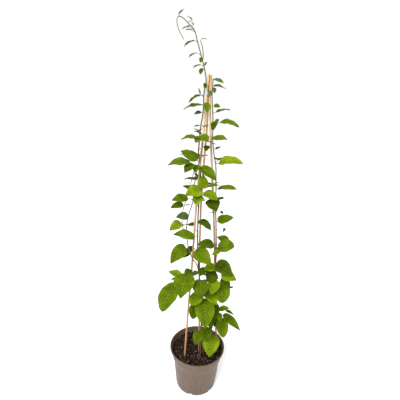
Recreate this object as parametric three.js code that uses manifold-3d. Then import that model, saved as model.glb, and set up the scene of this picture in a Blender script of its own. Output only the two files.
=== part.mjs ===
// A potted hardy kiwi: a vine on three split canes in a tapered nursery pot.
// Millimetres, +Z up. The origin is the middle of the pot's flat underside, and -Y is the front.
import * as THREE from "three";
import { mergeVertices } from "three/addons/utils/BufferGeometryUtils.js";
import Module from "manifold-3d";

const wasm = await Module();
wasm.setup();

// Driving dimensions of the pot and its soil
const POT_HEIGHT = 126;
const RIM_RADIUS = 75;
const BASE_RADIUS = 55.5;
const COLLAR_FOOT = 92;
const COLLAR_FOOT_RADIUS = 66.5;
const COLLAR_STEP = 2.5;
const LIP_HEIGHT = 5;
const LIP_DEPTH = 2;
const LIP_ROUND = 1;
const POT_WALL = 1.6;
const POT_FLOOR = 2;
const POT_SIDES = 40;
const FOOT_BEVEL = 3;
const NOTCH_COUNT = 6;
const NOTCH_TURN = THREE.MathUtils.degToRad(47);
const NOTCH_WIDTH = 16;
const NOTCH_HEIGHT = 7;
const NOTCH_DEPTH = 12;
const NOTCH_SIDES = 8;
const SOIL_HEIGHT = 112;
const SOIL_LUMP = 1.6;
const SOIL_GAP = 1.2;
const SOIL_SIDES = 24;
const SOIL_RINGS = [0.8, 0.52, 0.26];
const LUMP_SPACING = [7, 6];
const HOLE_RISE = 10;

// The body of the pot ends where it steps out to the foot of the collar
const BODY_TOP = COLLAR_FOOT - COLLAR_STEP;
const BODY_TOP_RADIUS = COLLAR_FOOT_RADIUS - COLLAR_STEP;

// Driving dimensions of the canes, ties and stems
const GAP = 0.4;
const CANE_RADIUS = 2.6;
const CANE_FOOT = 30;
const CANE_SIDES = 8;
const STEM_SIDES = 5;
const HOLE_SIDES = 6;
const TWINE_OFFSET = 5.4;
const TWINE_STEP = 30;
const TIE_WALL = 0.7;
const TIE_GAP = 0.7;
const TIE_CORNERS = 12;
const TIES = {
  tie_top: { canes: ["cane_left", "cane_middle", "cane_right"], low: 790, high: 799 },
  tie_lower: { canes: ["cane_left", "cane_middle"], low: 726, high: 728 },
};

// Driving dimensions of the leaves
const BLADE_THICKNESS = 0.9;
const PETIOLE_RADIUS = 0.9;
const PETIOLE_TIP_RADIUS = 0.5;
const PETIOLE_SIDES = 3;
const PETIOLE_HOLD = 2;
const PETIOLE_LIFT = 0.45;
const BOW_PLACE = 0.55;
const BOW_RISE = 0.08;
const EDGE_WAVE = 0.018;
const WAVES_ALONG_BLADE = 1.6;
const FOLD = THREE.MathUtils.degToRad(11);

// The outline of a blade: share of its length, and half width as a share of the widest
const OUTLINE = [
  [0.08, 0.6],
  [0.32, 1],
  [0.6, 0.88],
  [0.85, 0.43],
];
const BLUNT_OUTLINE = [
  [0.07, 0.52],
  [0.3, 0.94],
  [0.6, 1],
  [0.87, 0.62],
];
const SMALL_OUTLINE = [
  [0.16, 0.78],
  [0.45, 1],
  [0.78, 0.46],
];
const SMALL_BLADE = 26;

// Kinds of blade: width as a share of the length, how far the rib bends down, in degrees, and outline
const YOUNG = { width: 0.38, bend: 42, outline: OUTLINE };
const NARROW = { width: 0.36, bend: 20, outline: OUTLINE };
const HOOKED = { width: 0.56, bend: 60, outline: OUTLINE };
const ARCHED = { width: 0.54, bend: 36, outline: OUTLINE };
const OVATE = { width: 0.64, bend: 24, outline: OUTLINE };
const BROAD = { width: 0.76, bend: 18, outline: OUTLINE };
const OVAL = { width: 0.62, bend: 20, outline: BLUNT_OUTLINE };
const ROUND = { width: 0.84, bend: 18, outline: BLUNT_OUTLINE };

// Canes, as centre-lines from the foot in the soil to the top
const CANES = {
  cane_left: [
    [-35, -29, CANE_FOOT], [-33, -28, 110], [-31, -25, 182], [-27, -21, 296], [-24, -18, 360],
    [-20.5, -13.5, 488], [-19, -11, 545], [-14, -8, 640], [-9.5, -5.5, 725], [-4.2, -2.4, 832],
  ],
  cane_middle: [
    [6, -11, CANE_FOOT], [5, -9, 110], [0.5, -5, 250], [-3.8, -2, 350], [-6.5, 0, 420],
    [-8.2, 2, 545], [-6, 3, 640], [-3, 4, 725], [-3.4, 5.2, 829],
  ],
  cane_right: [
    [47, 16, 40], [54, 18, 110], [45, 14, 246], [36.5, 11, 350], [29.5, 8, 450],
    [21, 5, 547], [12.2, 3.5, 641], [4.2, 0.6, 725], [0, 0.2, 790], [0.4, 0.6, 830],
  ],
};

// The point of a rising centre-line at a height
function pointAt(line, height) {
  const top = line.findIndex((point) => point[2] >= height);
  if (top === 0) {
    return new THREE.Vector3(...line[0]);
  }
  if (top < 0) {
    return new THREE.Vector3(...line[line.length - 1]);
  }
  const [low, high] = [line[top - 1], line[top]];
  const share = (height - low[2]) / (high[2] - low[2]);
  return new THREE.Vector3(...low).lerp(new THREE.Vector3(...high), share);
}

// A stretch of stem that twines round a cane: compass angle at its foot, and degrees turned per mm
function twine(cane, from, to, startAngle, rate) {
  const steps = Math.round((to - from) / TWINE_STEP);
  const points = [];
  for (let step = 0; step <= steps; step += 1) {
    const height = from + ((to - from) * step) / steps;
    const centre = pointAt(CANES[cane], height);
    const angle = THREE.MathUtils.degToRad(startAngle + rate * (height - from));
    points.push([
      centre.x + TWINE_OFFSET * Math.cos(angle),
      centre.y + TWINE_OFFSET * Math.sin(angle),
      height,
    ]);
  }
  return points;
}

// The leafy stems. Each has shoots with a centre-line, the radius at its foot and at its tip, and leaves.
// A leaf is a row: height of the blade's base, compass angle of its petiole (0 is +X, 90 is the back),
// reach of the petiole, turn of the blade from the petiole, length of the blade, angle at which the
// blade sets off above the level, lean of its upper face to the front, and kind.
const STEMS = {
  main_stem: [
    {
      line: [
        [16, -10, 60], [16, -10, 110], [14, -10, 150], [9, -8.5, 190],
        ...twine("cane_middle", 230, 470, 0, -0.72),
        [-13.2, -1, 535], [-11, -2.5, 600], [-14, -2, 640], [-18.5, -3.5, 668], [-18, -5, 690],
        [-15.8, -7.2, 727], [-12.4, -5.6, 755], [-11.9, -5.4, 770], [-12.1, -5.5, 797],
        [-9, -5.2, 816], [-11, -5, 831], [-16, -4, 850], [-23, -4, 871], [-30, -4, 892],
        [-38, -4, 913], [-46, -4, 920], [-55, -4, 928], [-63, -4, 933], [-68, -4, 934],
        [-71, -4, 928], [-69, -4, 915], [-63, -4, 903], [-57, -4, 894],
      ],
      radii: [2.2, 0.9],
      leaves: [
        [215, 60, 34, 30, 58, -25, 0, BROAD],
        [328, 165, 22, 15, 31, -30, 5, BROAD],
        [336, 345, 18, -70, 36, -65, 0, BROAD],
        [382, 335, 18, -95, 26, -15, 20, OVATE],
        [270, 75, 30, 10, 62, -20, 0, BROAD],
        [320, 60, 22, 40, 56, -15, 0, OVATE],
        [480, 130, 22, -10, 54, -10, 0, OVATE],
        [540, 100, 24, -20, 50, -5, 0, OVATE],
        [600, 120, 18, 20, 44, 0, 0, OVATE],
        [655, 80, 18, 0, 38, 5, 0, OVATE],
        [715, 110, 14, -20, 34, 5, 0, ARCHED],
        [428, 170, 8, 5, 28, -15, 35, OVATE],
        [430, 240, 12, 75, 58, -5, 40, OVATE],
        [473, 256, 31, -61, 53, 30, 25, ARCHED],
        [492, 95, 11, -75, 14, -15, 10, OVATE],
        [508, 290, 11, 25, 41, 0, 10, ARCHED],
        [564, 335, 29, -45, 42, -15, 15, BROAD],
        [578, 275, 28, -30, 32, -15, 20, BROAD],
        [582, 295, 23, 25, 41, 0, 20, OVATE],
        [590, 275, 27, -60, 41, 0, 40, BROAD],
        [592, 300, 22, 40, 36, 35, 10, ARCHED],
        [592, 285, 24, 165, 31, 80, 0, BROAD],
        [596, 345, 12, 30, 15, 20, 10, OVATE],
        [634, 355, 12, 65, 16, 10, 20, BROAD],
        [684, 13, 19, -113, 18, -25, 0, BROAD],
        [728, 205, 3, 0, 14, 0, 20, NARROW],
        [756, 205, 4, 0, 17, -5, 25, OVATE],
        [770, 280, 8, -80, 47, 10, 10, YOUNG],
        [776, 305, 10, -25, 24, -40, 0, OVATE],
        [790, 210, 8, -5, 31, -10, 10, YOUNG],
        [792, 205, 9, 25, 14, 75, 5, NARROW],
        [814, 265, 5, 0, 13, -50, 10, OVATE],
        [842, 210, 6, 30, 14, -50, 10, OVATE],
        [848, 40, 3, 0, 9, 70, 10, ARCHED],
        [848, 200, 6, 5, 20, 0, 10, YOUNG],
        [862, 255, 4, 0, 12, -50, 10, OVATE],
        [870, 200, 10, 5, 21, -10, 10, YOUNG],
        [892, 205, 7, 0, 27, -10, 10, YOUNG],
        [910, 205, 5, 0, 15, 15, 15, ARCHED],
        [916, 190, 11, 10, 15, -5, 10, ARCHED],
        [918, 205, 4, 0, 8, -5, 20, OVATE],
        [920, 340, 5, -115, 9, 45, 20, OVATE],
        [928, 350, 9, -135, 14, 45, 10, YOUNG],
        [936, 265, 5, 65, 15, 50, 15, OVATE],
      ],
    },
    {
      line: [[-18, -4, 858], [-17, -1, 867], [-18.5, -1, 876], [-20, -2, 884], [-24, -2, 892]],
      radii: [1, 0.8],
      leaves: [[896, 340, 3, 0, 11, 15, 5, ARCHED]],
    },
  ],
  right_stem: [
    {
      line: [
        [23, -6, 60], [23, -6, 110], [30, 2, 150], [38, 8, 195],
        ...twine("cane_right", 240, 540, 250, 0.37),
        [25.5, 2, 562], [25.5, 0, 580], [23.5, -1, 613], [21.5, -1, 640], [15.5, 0, 668],
        [11.4, 0, 700], [9.4, 0.4, 742], [7.2, 4.2, 765],
        [5, 5.4, 790], [5.2, 4.6, 815], [5.2, 3.5, 824],
      ],
      radii: [2, 1],
      leaves: [
        [228, 300, 7, -35, 33, -20, 0, OVATE],
        [228, 320, 26, -45, 51, -20, 5, OVAL],
        [232, 345, 26, -30, 62, -5, 20, NARROW],
        [250, 285, 25, 0, 27, -15, -10, OVATE],
        [250, 335, 30, -10, 26, 5, 5, NARROW],
        [254, 295, 20, 50, 31, 40, 20, ARCHED],
        [276, 235, 17, 45, 52, -25, 0, OVATE],
        [300, 40, 26, 30, 60, -20, 0, BROAD],
        [396, 335, 25, -100, 25, 0, 20, OVATE],
        [410, 60, 20, 20, 52, -10, 0, OVATE],
        [550, 70, 16, 20, 46, 0, 0, OVATE],
        [650, 60, 12, 30, 36, 10, 0, ARCHED],
        [338, 302, 22, -27, 51, -25, -5, ROUND],
        [342, 345, 15, -35, 35, -5, 20, OVATE],
        [356, 266, 31, -12, 40, -25, 0, BROAD],
        [368, 260, 13, -20, 38, -5, 30, ROUND],
        [374, 292, 33, 33, 43, 10, 45, OVATE],
        [390, 262, 24, -50, 34, 10, 40, OVATE],
        [392, 275, 11, 40, 55, 0, 40, OVATE],
        [432, 290, 23, -75, 24, 5, 25, ARCHED],
        [434, 300, 8, 40, 43, 25, 35, ROUND],
        [444, 245, 16, -45, 43, 20, 30, OVATE],
        [448, 0, 29, 145, 34, 15, 20, OVATE],
        [488, 335, 23, -95, 12, -20, 10, ARCHED],
        [504, 290, 11, 85, 41, 25, 25, OVATE],
        [526, 265, 13, -70, 17, 30, -10, ARCHED],
        [532, 315, 15, -5, 11, -15, 10, OVATE],
        [586, 335, 5, 0, 48, 25, 10, ARCHED],
        [596, 120, 7, -95, 13, 15, 0, NARROW],
        [646, 340, 7, -5, 59, 25, 25, ARCHED],
        [676, 30, 5, 0, 15, 35, 10, ARCHED],
        [688, 110, 6, -80, 12, -5, 5, NARROW],
        [694, 205, 12, 120, 13, 10, -10, NARROW],
        [704, 122, 8, 20, 14, -20, 10, OVATE],
        [700, 240, 4, 95, 37, 15, 20, OVATE],
        [736, 330, 8, 90, 11, 45, 10, BROAD],
        [736, 340, 15, -5, 46, 10, 15, ARCHED],
        [738, 310, 8, -60, 24, -40, -10, OVATE],
        [756, 345, 7, 30, 34, 30, 10, YOUNG],
        [770, 320, 4, 15, 15, 0, 40, BROAD],
        [806, 290, 9, -10, 13, -50, 0, OVATE],
        [808, 335, 3, 0, 28, 10, -20, ARCHED],
        [822, 335, 2, 0, 24, 0, 25, ARCHED],
      ],
    },
  ],
  left_stem: [
    {
      line: [
        [10, -17, 60], [10, -17, 110], [9, -18, 170], [6, -20, 250], [2, -21, 320], [-6, -23, 375],
        [-12, -25, 398], [-21, -26.5, 412], [-30, -22, 430], [-37, -18, 460], [-39.5, -16, 490],
        [-35, -15, 524], [-27, -13, 554], [-25, -12, 590], [-23, -11.5, 612], [-18.5, -11, 640],
        [-14, -13.5, 660], [-9, -12.5, 700],
      ],
      radii: [1.6, 1],
      leaves: [
        [378, 230, 4, 0, 20, 0, 20, OVATE],
        [380, 180, 20, 60, 28, -10, 25, BROAD],
        [386, 310, 4, 0, 27, 0, 15, OVATE],
        [426, 95, 9, 80, 32, -25, 25, BROAD],
        [440, 185, 8, 45, 58, 5, 40, HOOKED],
        [496, 20, 17, -170, 13, 5, 5, NARROW],
        [522, 270, 7, -65, 31, 15, 45, OVATE],
        [550, 215, 4, 0, 16, 0, -20, OVATE],
        [564, 195, 12, 10, 40, 10, 28, OVATE],
        [584, 145, 8, 10, 23, 25, 20, ARCHED],
        [646, 195, 17, 5, 53, 15, 20, ARCHED],
        [638, 310, 8, 15, 49, -15, 15, OVATE],
        [654, 240, 9, -80, 44, 35, 30, OVATE],
        [658, 165, 4, 0, 20, 50, 0, BROAD],
        [664, 175, 33, 35, 11, 10, 10, NARROW],
        [702, 210, 11, -10, 41, 15, 10, ARCHED],
        [706, 235, 9, 5, 25, -15, 10, BROAD],
        [708, 220, 9, 90, 29, -10, 20, BROAD],
        [710, 200, 5, -35, 18, 35, 10, ARCHED],
      ],
    },
    {
      line: [
        [-38, -17.5, 468], [-45, -15.5, 480], [-50, -14.5, 500], [-50.5, -14, 521], [-48, -14, 539],
        [-41, -14, 564], [-34, -14, 595], [-30, -14.5, 614], [-26, -16, 632],
      ],
      radii: [1, 0.8],
      leaves: [
        [504, 245, 6, -20, 36, -5, 40, OVATE],
        [547, 205, 3, 0, 32, 10, 40, ARCHED],
        [624, 320, 4, 0, 12, -20, 0, OVATE],
        [644, 340, 6, -80, 25, -20, 0, OVATE],
        [646, 230, 4, 0, 32, -20, 10, BROAD],
      ],
    },
    {
      line: [[1, -21, 330], [-22, -29, 338], [-42, -27, 346], [-55, -24, 352]],
      radii: [1.1, 0.9],
      leaves: [
        [348, 190, 66, 60, 78, -20, -10, OVAL],
        [352, 130, 11, 75, 27, 10, 0, NARROW],
        [360, 20, 6, 135, 36, 20, 30, ARCHED],
        [376, 333, 22, -73, 66, -20, 0, BROAD],
      ],
    },
  ],
  front_shoot: [
    {
      line: [[17, -19, 60], [17, -19, 110], [14, -24, 160], [10, -27, 220], [8, -28, 280], [8, -27, 345]],
      radii: [1.5, 1],
      leaves: [
        [190, 352, 25, -90, 58, -20, 0, BROAD],
        [198, 205, 6, 45, 38, -15, 0, BROAD],
        [212, 0, 13, -95, 39, -20, 0, BROAD],
        [248, 30, 14, -100, 41, -15, 0, OVATE],
        [288, 185, 16, 75, 44, -15, 0, OVAL],
        [312, 280, 15, -5, 74, -20, 0, OVATE],
        [320, 320, 10, -5, 41, -5, 10, OVATE],
        [328, 252, 19, -22, 38, -15, 10, ROUND],
        [362, 230, 13, 40, 45, -15, 0, ROUND],
      ],
    },
  ],
};

// A closed geometry from points and triangles
function closedGeometry(points, triangles) {
  const geometry = new THREE.BufferGeometry();
  geometry.setAttribute("position", new THREE.Float32BufferAttribute(points, 3));
  geometry.setIndex(triangles);
  return geometry;
}

// A solid for joining and cutting, from any closed geometry
function toSolid(geometry) {
  const plain = geometry.clone();
  plain.deleteAttribute("normal");
  plain.deleteAttribute("uv");
  const merged = mergeVertices(plain, 1e-4);
  return new wasm.Manifold(
    new wasm.Mesh({
      numProp: 3,
      vertProperties: new Float32Array(merged.attributes.position.array),
      triVerts: new Uint32Array(merged.index.array),
    }),
  );
}

// The geometry of a solid after joining and cutting
function toGeometry(solid) {
  const mesh = solid.getMesh();
  return closedGeometry(Array.from(mesh.vertProperties), Array.from(mesh.triVerts));
}

// A round bar along a list of points, with its radius eased from one end to the other
function barAlong(points, radii, sides) {
  const centres = points.map((point) => new THREE.Vector3(...point));
  const side = new THREE.Vector3(0, 1, 0);
  const corners = [];
  centres.forEach((centre, place) => {
    const before = centres[Math.max(place - 1, 0)];
    const after = centres[Math.min(place + 1, centres.length - 1)];
    const along = after.clone().sub(before).normalize();
    const across = side.clone().addScaledVector(along, -side.dot(along)).normalize();
    const up = new THREE.Vector3().crossVectors(along, across);
    const radius = THREE.MathUtils.lerp(radii[0], radii[1], place / (centres.length - 1));
    for (let corner = 0; corner < sides; corner += 1) {
      const angle = (2 * Math.PI * corner) / sides;
      const spot = centre.clone();
      spot.addScaledVector(across, radius * Math.cos(angle));
      spot.addScaledVector(up, radius * Math.sin(angle));
      corners.push(spot.x, spot.y, spot.z);
    }
    side.copy(across);
  });
  const triangles = [];
  const last = (centres.length - 1) * sides;
  for (let corner = 0; corner < sides; corner += 1) {
    const next = (corner + 1) % sides;
    for (let ring = 0; ring < last; ring += sides) {
      triangles.push(ring + corner, ring + next, ring + sides + next);
      triangles.push(ring + corner, ring + sides + next, ring + sides + corner);
    }
    if (corner > 0 && corner < sides - 1) {
      triangles.push(0, next, corner);
      triangles.push(last, last + corner, last + next);
    }
  }
  return closedGeometry(corners, triangles);
}

// A level direction at a compass angle in degrees
function compass(angle) {
  const turned = THREE.MathUtils.degToRad(angle);
  return new THREE.Vector3(Math.cos(turned), Math.sin(turned), 0);
}

// One blade: its rib arches down from the base, its halves rise from the rib, and its edge is waved
function blade(base, heading, length, rise, lean, kind) {
  const level = compass(heading);
  const levelSide = new THREE.Vector3(level.y, -level.x, 0);
  const roll = THREE.MathUtils.degToRad(lean) * (level.x < 0 ? -1 : 1);
  const rib = base.clone();
  const outline = length < SMALL_BLADE ? SMALL_OUTLINE : kind.outline;
  const stations = [[0, 0], ...outline, [1, 0]];
  const rows = [];
  let previous = 0;
  stations.forEach(([share, halfShare]) => {
    const middle = (share + previous) / 2;
    const step = THREE.MathUtils.degToRad(rise - kind.bend * middle);
    rib.addScaledVector(level, Math.cos(step) * length * (share - previous));
    rib.z += Math.sin(step) * length * (share - previous);
    previous = share;
    const pitch = THREE.MathUtils.degToRad(rise - kind.bend * share);
    const along = level.clone().multiplyScalar(Math.cos(pitch));
    along.z = Math.sin(pitch);
    const flatNormal = new THREE.Vector3().crossVectors(levelSide, along);
    const side = levelSide.clone().multiplyScalar(Math.cos(roll));
    side.addScaledVector(flatNormal, -Math.sin(roll));
    const normal = new THREE.Vector3().crossVectors(side, along);
    const half = (halfShare * kind.width * length) / 2;
    const wave = Math.sin(2 * Math.PI * WAVES_ALONG_BLADE * share + length) * EDGE_WAVE * length;
    const spots = half > 0 ? [-1, 0, 1] : [0];
    rows.push(
      spots.map((hand) => {
        const spot = rib.clone().addScaledVector(side, hand * half * Math.cos(FOLD));
        spot.addScaledVector(normal, Math.abs(hand) * (half * Math.sin(FOLD) + hand * wave));
        return [
          spot.clone().addScaledVector(normal, BLADE_THICKNESS / 2),
          spot.clone().addScaledVector(normal, -BLADE_THICKNESS / 2),
        ];
      }),
    );
  });
  return shellOfRows(rows);
}

// A thin closed body from rows of spots, each an upper and a lower point; the end rows hold one spot
function shellOfRows(rows) {
  const corners = [];
  const index = rows.map((row) =>
    row.map((pair) => {
      pair.forEach((point) => corners.push(point.x, point.y, point.z));
      return corners.length / 3 - 2;
    }),
  );
  const triangles = [];
  const face = (a, b, c) => {
    triangles.push(a, b, c, a + 1, c + 1, b + 1);
  };
  const wall = (a, b) => {
    triangles.push(a, a + 1, b + 1, a, b + 1, b);
  };
  const [first, last] = [index[0][0], index[index.length - 1][0]];
  const [start, end] = [index[1], index[index.length - 2]];
  face(first, start[1], start[0]);
  face(first, start[2], start[1]);
  face(last, end[0], end[1]);
  face(last, end[1], end[2]);
  wall(start[0], first);
  wall(first, start[2]);
  wall(last, end[0]);
  wall(end[2], last);
  for (let row = 1; row < index.length - 2; row += 1) {
    const [near, far] = [index[row], index[row + 1]];
    face(near[0], near[1], far[0]);
    face(near[1], far[1], far[0]);
    face(near[1], near[2], far[2]);
    face(near[1], far[2], far[1]);
    wall(far[0], near[0]);
    wall(near[2], far[2]);
  }
  return closedGeometry(corners, triangles);
}

// A petiole and its blade, rooted in the middle of the shoot
function leaf(line, [height, angle, reach, turn, length, rise, lean, kind]) {
  const root = pointAt(line, height - PETIOLE_LIFT * reach);
  const base = root.clone().addScaledVector(compass(angle), reach);
  base.z = height;
  const heading = angle + turn;
  const rib = compass(heading).multiplyScalar(Math.cos(THREE.MathUtils.degToRad(rise)));
  rib.z = Math.sin(THREE.MathUtils.degToRad(rise));
  const bow = root.clone().lerp(base, BOW_PLACE);
  bow.z += BOW_RISE * reach;
  const held = base.clone().addScaledVector(rib, PETIOLE_HOLD);
  const petiole = barAlong(
    [root, bow, held].map((point) => point.toArray()),
    [PETIOLE_RADIUS, PETIOLE_TIP_RADIUS],
    PETIOLE_SIDES,
  );
  return [toSolid(petiole), toSolid(blade(base, heading, length, rise, lean, kind))];
}

// One leafy stem: every shoot, petiole and blade joined in one body
function leafyStem(shoots) {
  const solids = shoots.flatMap((shoot) => [
    toSolid(barAlong(shoot.line, shoot.radii, STEM_SIDES)),
    ...shoot.leaves.flatMap((row) => leaf(shoot.line, row)),
  ]);
  return toGeometry(wasm.Manifold.union(solids));
}

// A hole in the soil that clears a cane or stem all round and below its foot
function holeFor(line, radius) {
  const foot = [line[0][0], line[0][1], line[0][2] - 2 * GAP];
  const above = pointAt(line, SOIL_HEIGHT + HOLE_RISE).toArray();
  const points = [foot, ...line.filter((point) => point[2] < SOIL_HEIGHT), above];
  const corner = (radius + GAP) / Math.cos(Math.PI / HOLE_SIDES);
  return toSolid(barAlong(points, [corner, corner], HOLE_SIDES));
}

// The pot: a lathed wall with a flat floor, cut by the notches that drain it
function pot() {
  const lipFoot = POT_HEIGHT - LIP_HEIGHT;
  const profile = [
    [0, 0],
    [BASE_RADIUS - FOOT_BEVEL, 0],
    [BASE_RADIUS, POT_FLOOR],
    [BODY_TOP_RADIUS, BODY_TOP],
    [COLLAR_FOOT_RADIUS, COLLAR_FOOT],
    [RIM_RADIUS - LIP_DEPTH, lipFoot],
    [RIM_RADIUS, lipFoot + LIP_ROUND],
    [RIM_RADIUS, POT_HEIGHT - LIP_ROUND],
    [RIM_RADIUS - LIP_ROUND, POT_HEIGHT],
    [RIM_RADIUS - LIP_DEPTH - LIP_ROUND, POT_HEIGHT],
    [RIM_RADIUS - LIP_DEPTH - POT_WALL, lipFoot],
    [COLLAR_FOOT_RADIUS - POT_WALL, COLLAR_FOOT],
    [BODY_TOP_RADIUS - POT_WALL, BODY_TOP],
    [BASE_RADIUS - POT_WALL, 2 * POT_FLOOR],
    [BASE_RADIUS - POT_WALL - POT_FLOOR, POT_FLOOR],
    [0, POT_FLOOR],
  ].map(([radius, height]) => new THREE.Vector2(radius, height));
  const wall = new THREE.LatheGeometry(profile, POT_SIDES).rotateX(Math.PI / 2);
  const notch = new THREE.CylinderGeometry(NOTCH_HEIGHT, NOTCH_HEIGHT, NOTCH_DEPTH, NOTCH_SIDES);
  notch.scale(NOTCH_WIDTH / (2 * NOTCH_HEIGHT), 1, 1);
  let body = toSolid(wall);
  for (let place = 0; place < NOTCH_COUNT; place += 1) {
    const cutter = notch.clone();
    cutter.translate(0, BASE_RADIUS - NOTCH_DEPTH / 8, 0);
    cutter.rotateZ(NOTCH_TURN + (2 * Math.PI * place) / NOTCH_COUNT);
    body = body.subtract(toSolid(cutter));
  }
  return toGeometry(body);
}

// The inside of the pot, as an outline that keeps clear of its wall
function soilRadius(height) {
  const clearance = POT_WALL + SOIL_GAP;
  if (height <= BODY_TOP) {
    return THREE.MathUtils.lerp(BASE_RADIUS, BODY_TOP_RADIUS, height / BODY_TOP) - clearance;
  }
  const share = (height - COLLAR_FOOT) / (POT_HEIGHT - LIP_HEIGHT - COLLAR_FOOT);
  return THREE.MathUtils.lerp(COLLAR_FOOT_RADIUS, RIM_RADIUS - LIP_DEPTH, share) - clearance;
}

// The soil: it fills the pot, with a lumpy top and a hole for each cane and stem
function soil(holes) {
  const floor = POT_FLOOR + GAP;
  const crown = SOIL_HEIGHT;
  const shoulder = floor + NOTCH_HEIGHT;
  const profile = [
    [0, floor],
    [soilRadius(floor) - 2 * FOOT_BEVEL, floor],
    [soilRadius(shoulder), shoulder],
    [soilRadius(BODY_TOP), BODY_TOP],
    [soilRadius(COLLAR_FOOT), COLLAR_FOOT],
    [soilRadius(crown), crown],
    ...SOIL_RINGS.map((share) => [soilRadius(crown) * share, crown]),
    [0, crown],
  ].map(([radius, height]) => new THREE.Vector2(radius, height));
  const body = new THREE.LatheGeometry(profile, SOIL_SIDES).rotateX(Math.PI / 2);
  const places = body.attributes.position;
  for (let place = 0; place < places.count; place += 1) {
    const [x, y, z] = [places.getX(place), places.getY(place), places.getZ(place)];
    if (z > crown - 1 && Math.hypot(x, y) < soilRadius(crown) - 2) {
      places.setZ(place, z + SOIL_LUMP * Math.sin(x / LUMP_SPACING[0] + 1) * Math.cos(y / LUMP_SPACING[1]));
    }
  }
  return toGeometry(holes.reduce((rest, hole) => rest.subtract(hole), toSolid(body)));
}

// A band round several canes at one height: the hull of their sections, with a clear gap inside
function bandRound({ canes, low, high }) {
  const outlineAt = (height, spread) => {
    const spots = canes.flatMap((name) => {
      const centre = pointAt(CANES[name], height);
      return Array.from({ length: TIE_CORNERS }, (unused, step) => {
        const spot = compass((360 * step) / TIE_CORNERS).multiplyScalar(CANE_RADIUS + spread);
        return new THREE.Vector2(centre.x + spot.x, centre.y + spot.y);
      });
    });
    return hullOf(spots);
  };
  const middle = (low + high) / 2;
  const outer = new THREE.Shape(outlineAt(middle, TIE_GAP + TIE_WALL));
  outer.holes.push(new THREE.Path(outlineAt(middle, TIE_GAP)));
  const band = new THREE.ExtrudeGeometry(outer, { depth: high - low, bevelEnabled: false });
  return band.translate(0, 0, low);
}

// The convex outline of flat points, by wrapping round them
function hullOf(spots) {
  const start = spots.reduce((best, spot) => (spot.x < best.x ? spot : best));
  const outline = [start];
  let current = start;
  do {
    let next = spots[0] === current ? spots[1] : spots[0];
    spots.forEach((spot) => {
      const turn = (next.x - current.x) * (spot.y - current.y) - (next.y - current.y) * (spot.x - current.x);
      const further = spot.distanceTo(current) > next.distanceTo(current);
      if (spot !== current && (turn < -1e-9 || (Math.abs(turn) <= 1e-9 && further))) {
        next = spot;
      }
    });
    current = next;
    outline.push(current);
  } while (current !== start);
  outline.pop();
  return outline;
}

// Finishes: colour, roughness and metalness
const FINISH = {
  pot: [0x8a7a6e, 0.5],
  soil: [0x2a1c14, 0.95],
  cane: [0xd9a860, 0.55],
  tie: [0xc8d0cc, 0.6],
  leafy: [0x5f9a14, 0.5],
};

const plant = new THREE.Group();

function addPart(name, geometry, finish) {
  const [color, roughness] = FINISH[finish];
  const material = new THREE.MeshStandardMaterial({ color, roughness, metalness: 0 });
  const mesh = new THREE.Mesh(geometry, material);
  mesh.name = name;
  plant.add(mesh);
}

const holes = [];
Object.values(CANES).forEach((line) => holes.push(holeFor(line, CANE_RADIUS)));
Object.values(STEMS).forEach(([shoot]) => holes.push(holeFor(shoot.line, shoot.radii[0])));

addPart("pot", pot(), "pot");
addPart("soil", soil(holes), "soil");
Object.entries(CANES).forEach(([name, line]) => {
  addPart(name, barAlong(line, [CANE_RADIUS, CANE_RADIUS], CANE_SIDES), "cane");
});
Object.entries(TIES).forEach(([name, tie]) => addPart(name, bandRound(tie), "tie"));
Object.entries(STEMS).forEach(([name, shoots]) => addPart(name, leafyStem(shoots), "leafy"));

export default plant;
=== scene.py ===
# %% [markdown]
# # A potted hardy kiwi
# A hardy kiwi is a climbing vine. A nursery sells it in a tapered plastic pot, where its shoots twine up
# three split canes that are tied together near the top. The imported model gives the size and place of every
# piece. This lesson gives each one its finer form and its finish.

# %% Load the frame
import math
import random

import bpy
from mathutils import Matrix, Vector


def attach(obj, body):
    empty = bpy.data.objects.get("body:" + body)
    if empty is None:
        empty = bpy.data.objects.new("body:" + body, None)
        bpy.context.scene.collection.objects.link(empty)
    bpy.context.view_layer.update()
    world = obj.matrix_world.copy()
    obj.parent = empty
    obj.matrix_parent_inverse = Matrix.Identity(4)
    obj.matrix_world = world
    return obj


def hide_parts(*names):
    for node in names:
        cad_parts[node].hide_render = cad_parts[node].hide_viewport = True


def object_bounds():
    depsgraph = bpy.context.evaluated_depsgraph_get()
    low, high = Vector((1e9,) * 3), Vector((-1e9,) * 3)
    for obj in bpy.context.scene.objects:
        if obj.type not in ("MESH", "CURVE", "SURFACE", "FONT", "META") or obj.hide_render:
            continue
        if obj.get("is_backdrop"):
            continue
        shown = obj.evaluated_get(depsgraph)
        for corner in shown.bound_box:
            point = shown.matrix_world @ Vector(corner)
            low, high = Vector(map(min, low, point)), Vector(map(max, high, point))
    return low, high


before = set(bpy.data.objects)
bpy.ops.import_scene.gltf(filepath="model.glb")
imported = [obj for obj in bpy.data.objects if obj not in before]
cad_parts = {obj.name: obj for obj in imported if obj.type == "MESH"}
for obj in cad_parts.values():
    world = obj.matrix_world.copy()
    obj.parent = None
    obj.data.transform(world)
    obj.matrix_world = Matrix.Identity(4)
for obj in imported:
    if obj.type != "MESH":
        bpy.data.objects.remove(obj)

cad_box = [list(corner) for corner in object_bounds()]
MM = 0.001
print("CAD box, lowest and highest corner in metres:", cad_box)

# %% [markdown]
# Operators act on whatever is selected, and loading the frame leaves its nodes selected. So a small helper
# picks one object before each step. Every finished piece has its place in its mesh, rides on the one body of
# this plant, and says which CAD node it stands for.


# %% Picking and handing over pieces
def pick(*things):
    bpy.ops.object.select_all(action="DESELECT")
    for thing in things:
        thing.select_set(True)
    bpy.context.view_layer.objects.active = things[0]
    return things[0]


def settle(piece):
    pick(piece)
    bpy.ops.object.transform_apply(location=True, rotation=True, scale=True)
    return piece


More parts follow.
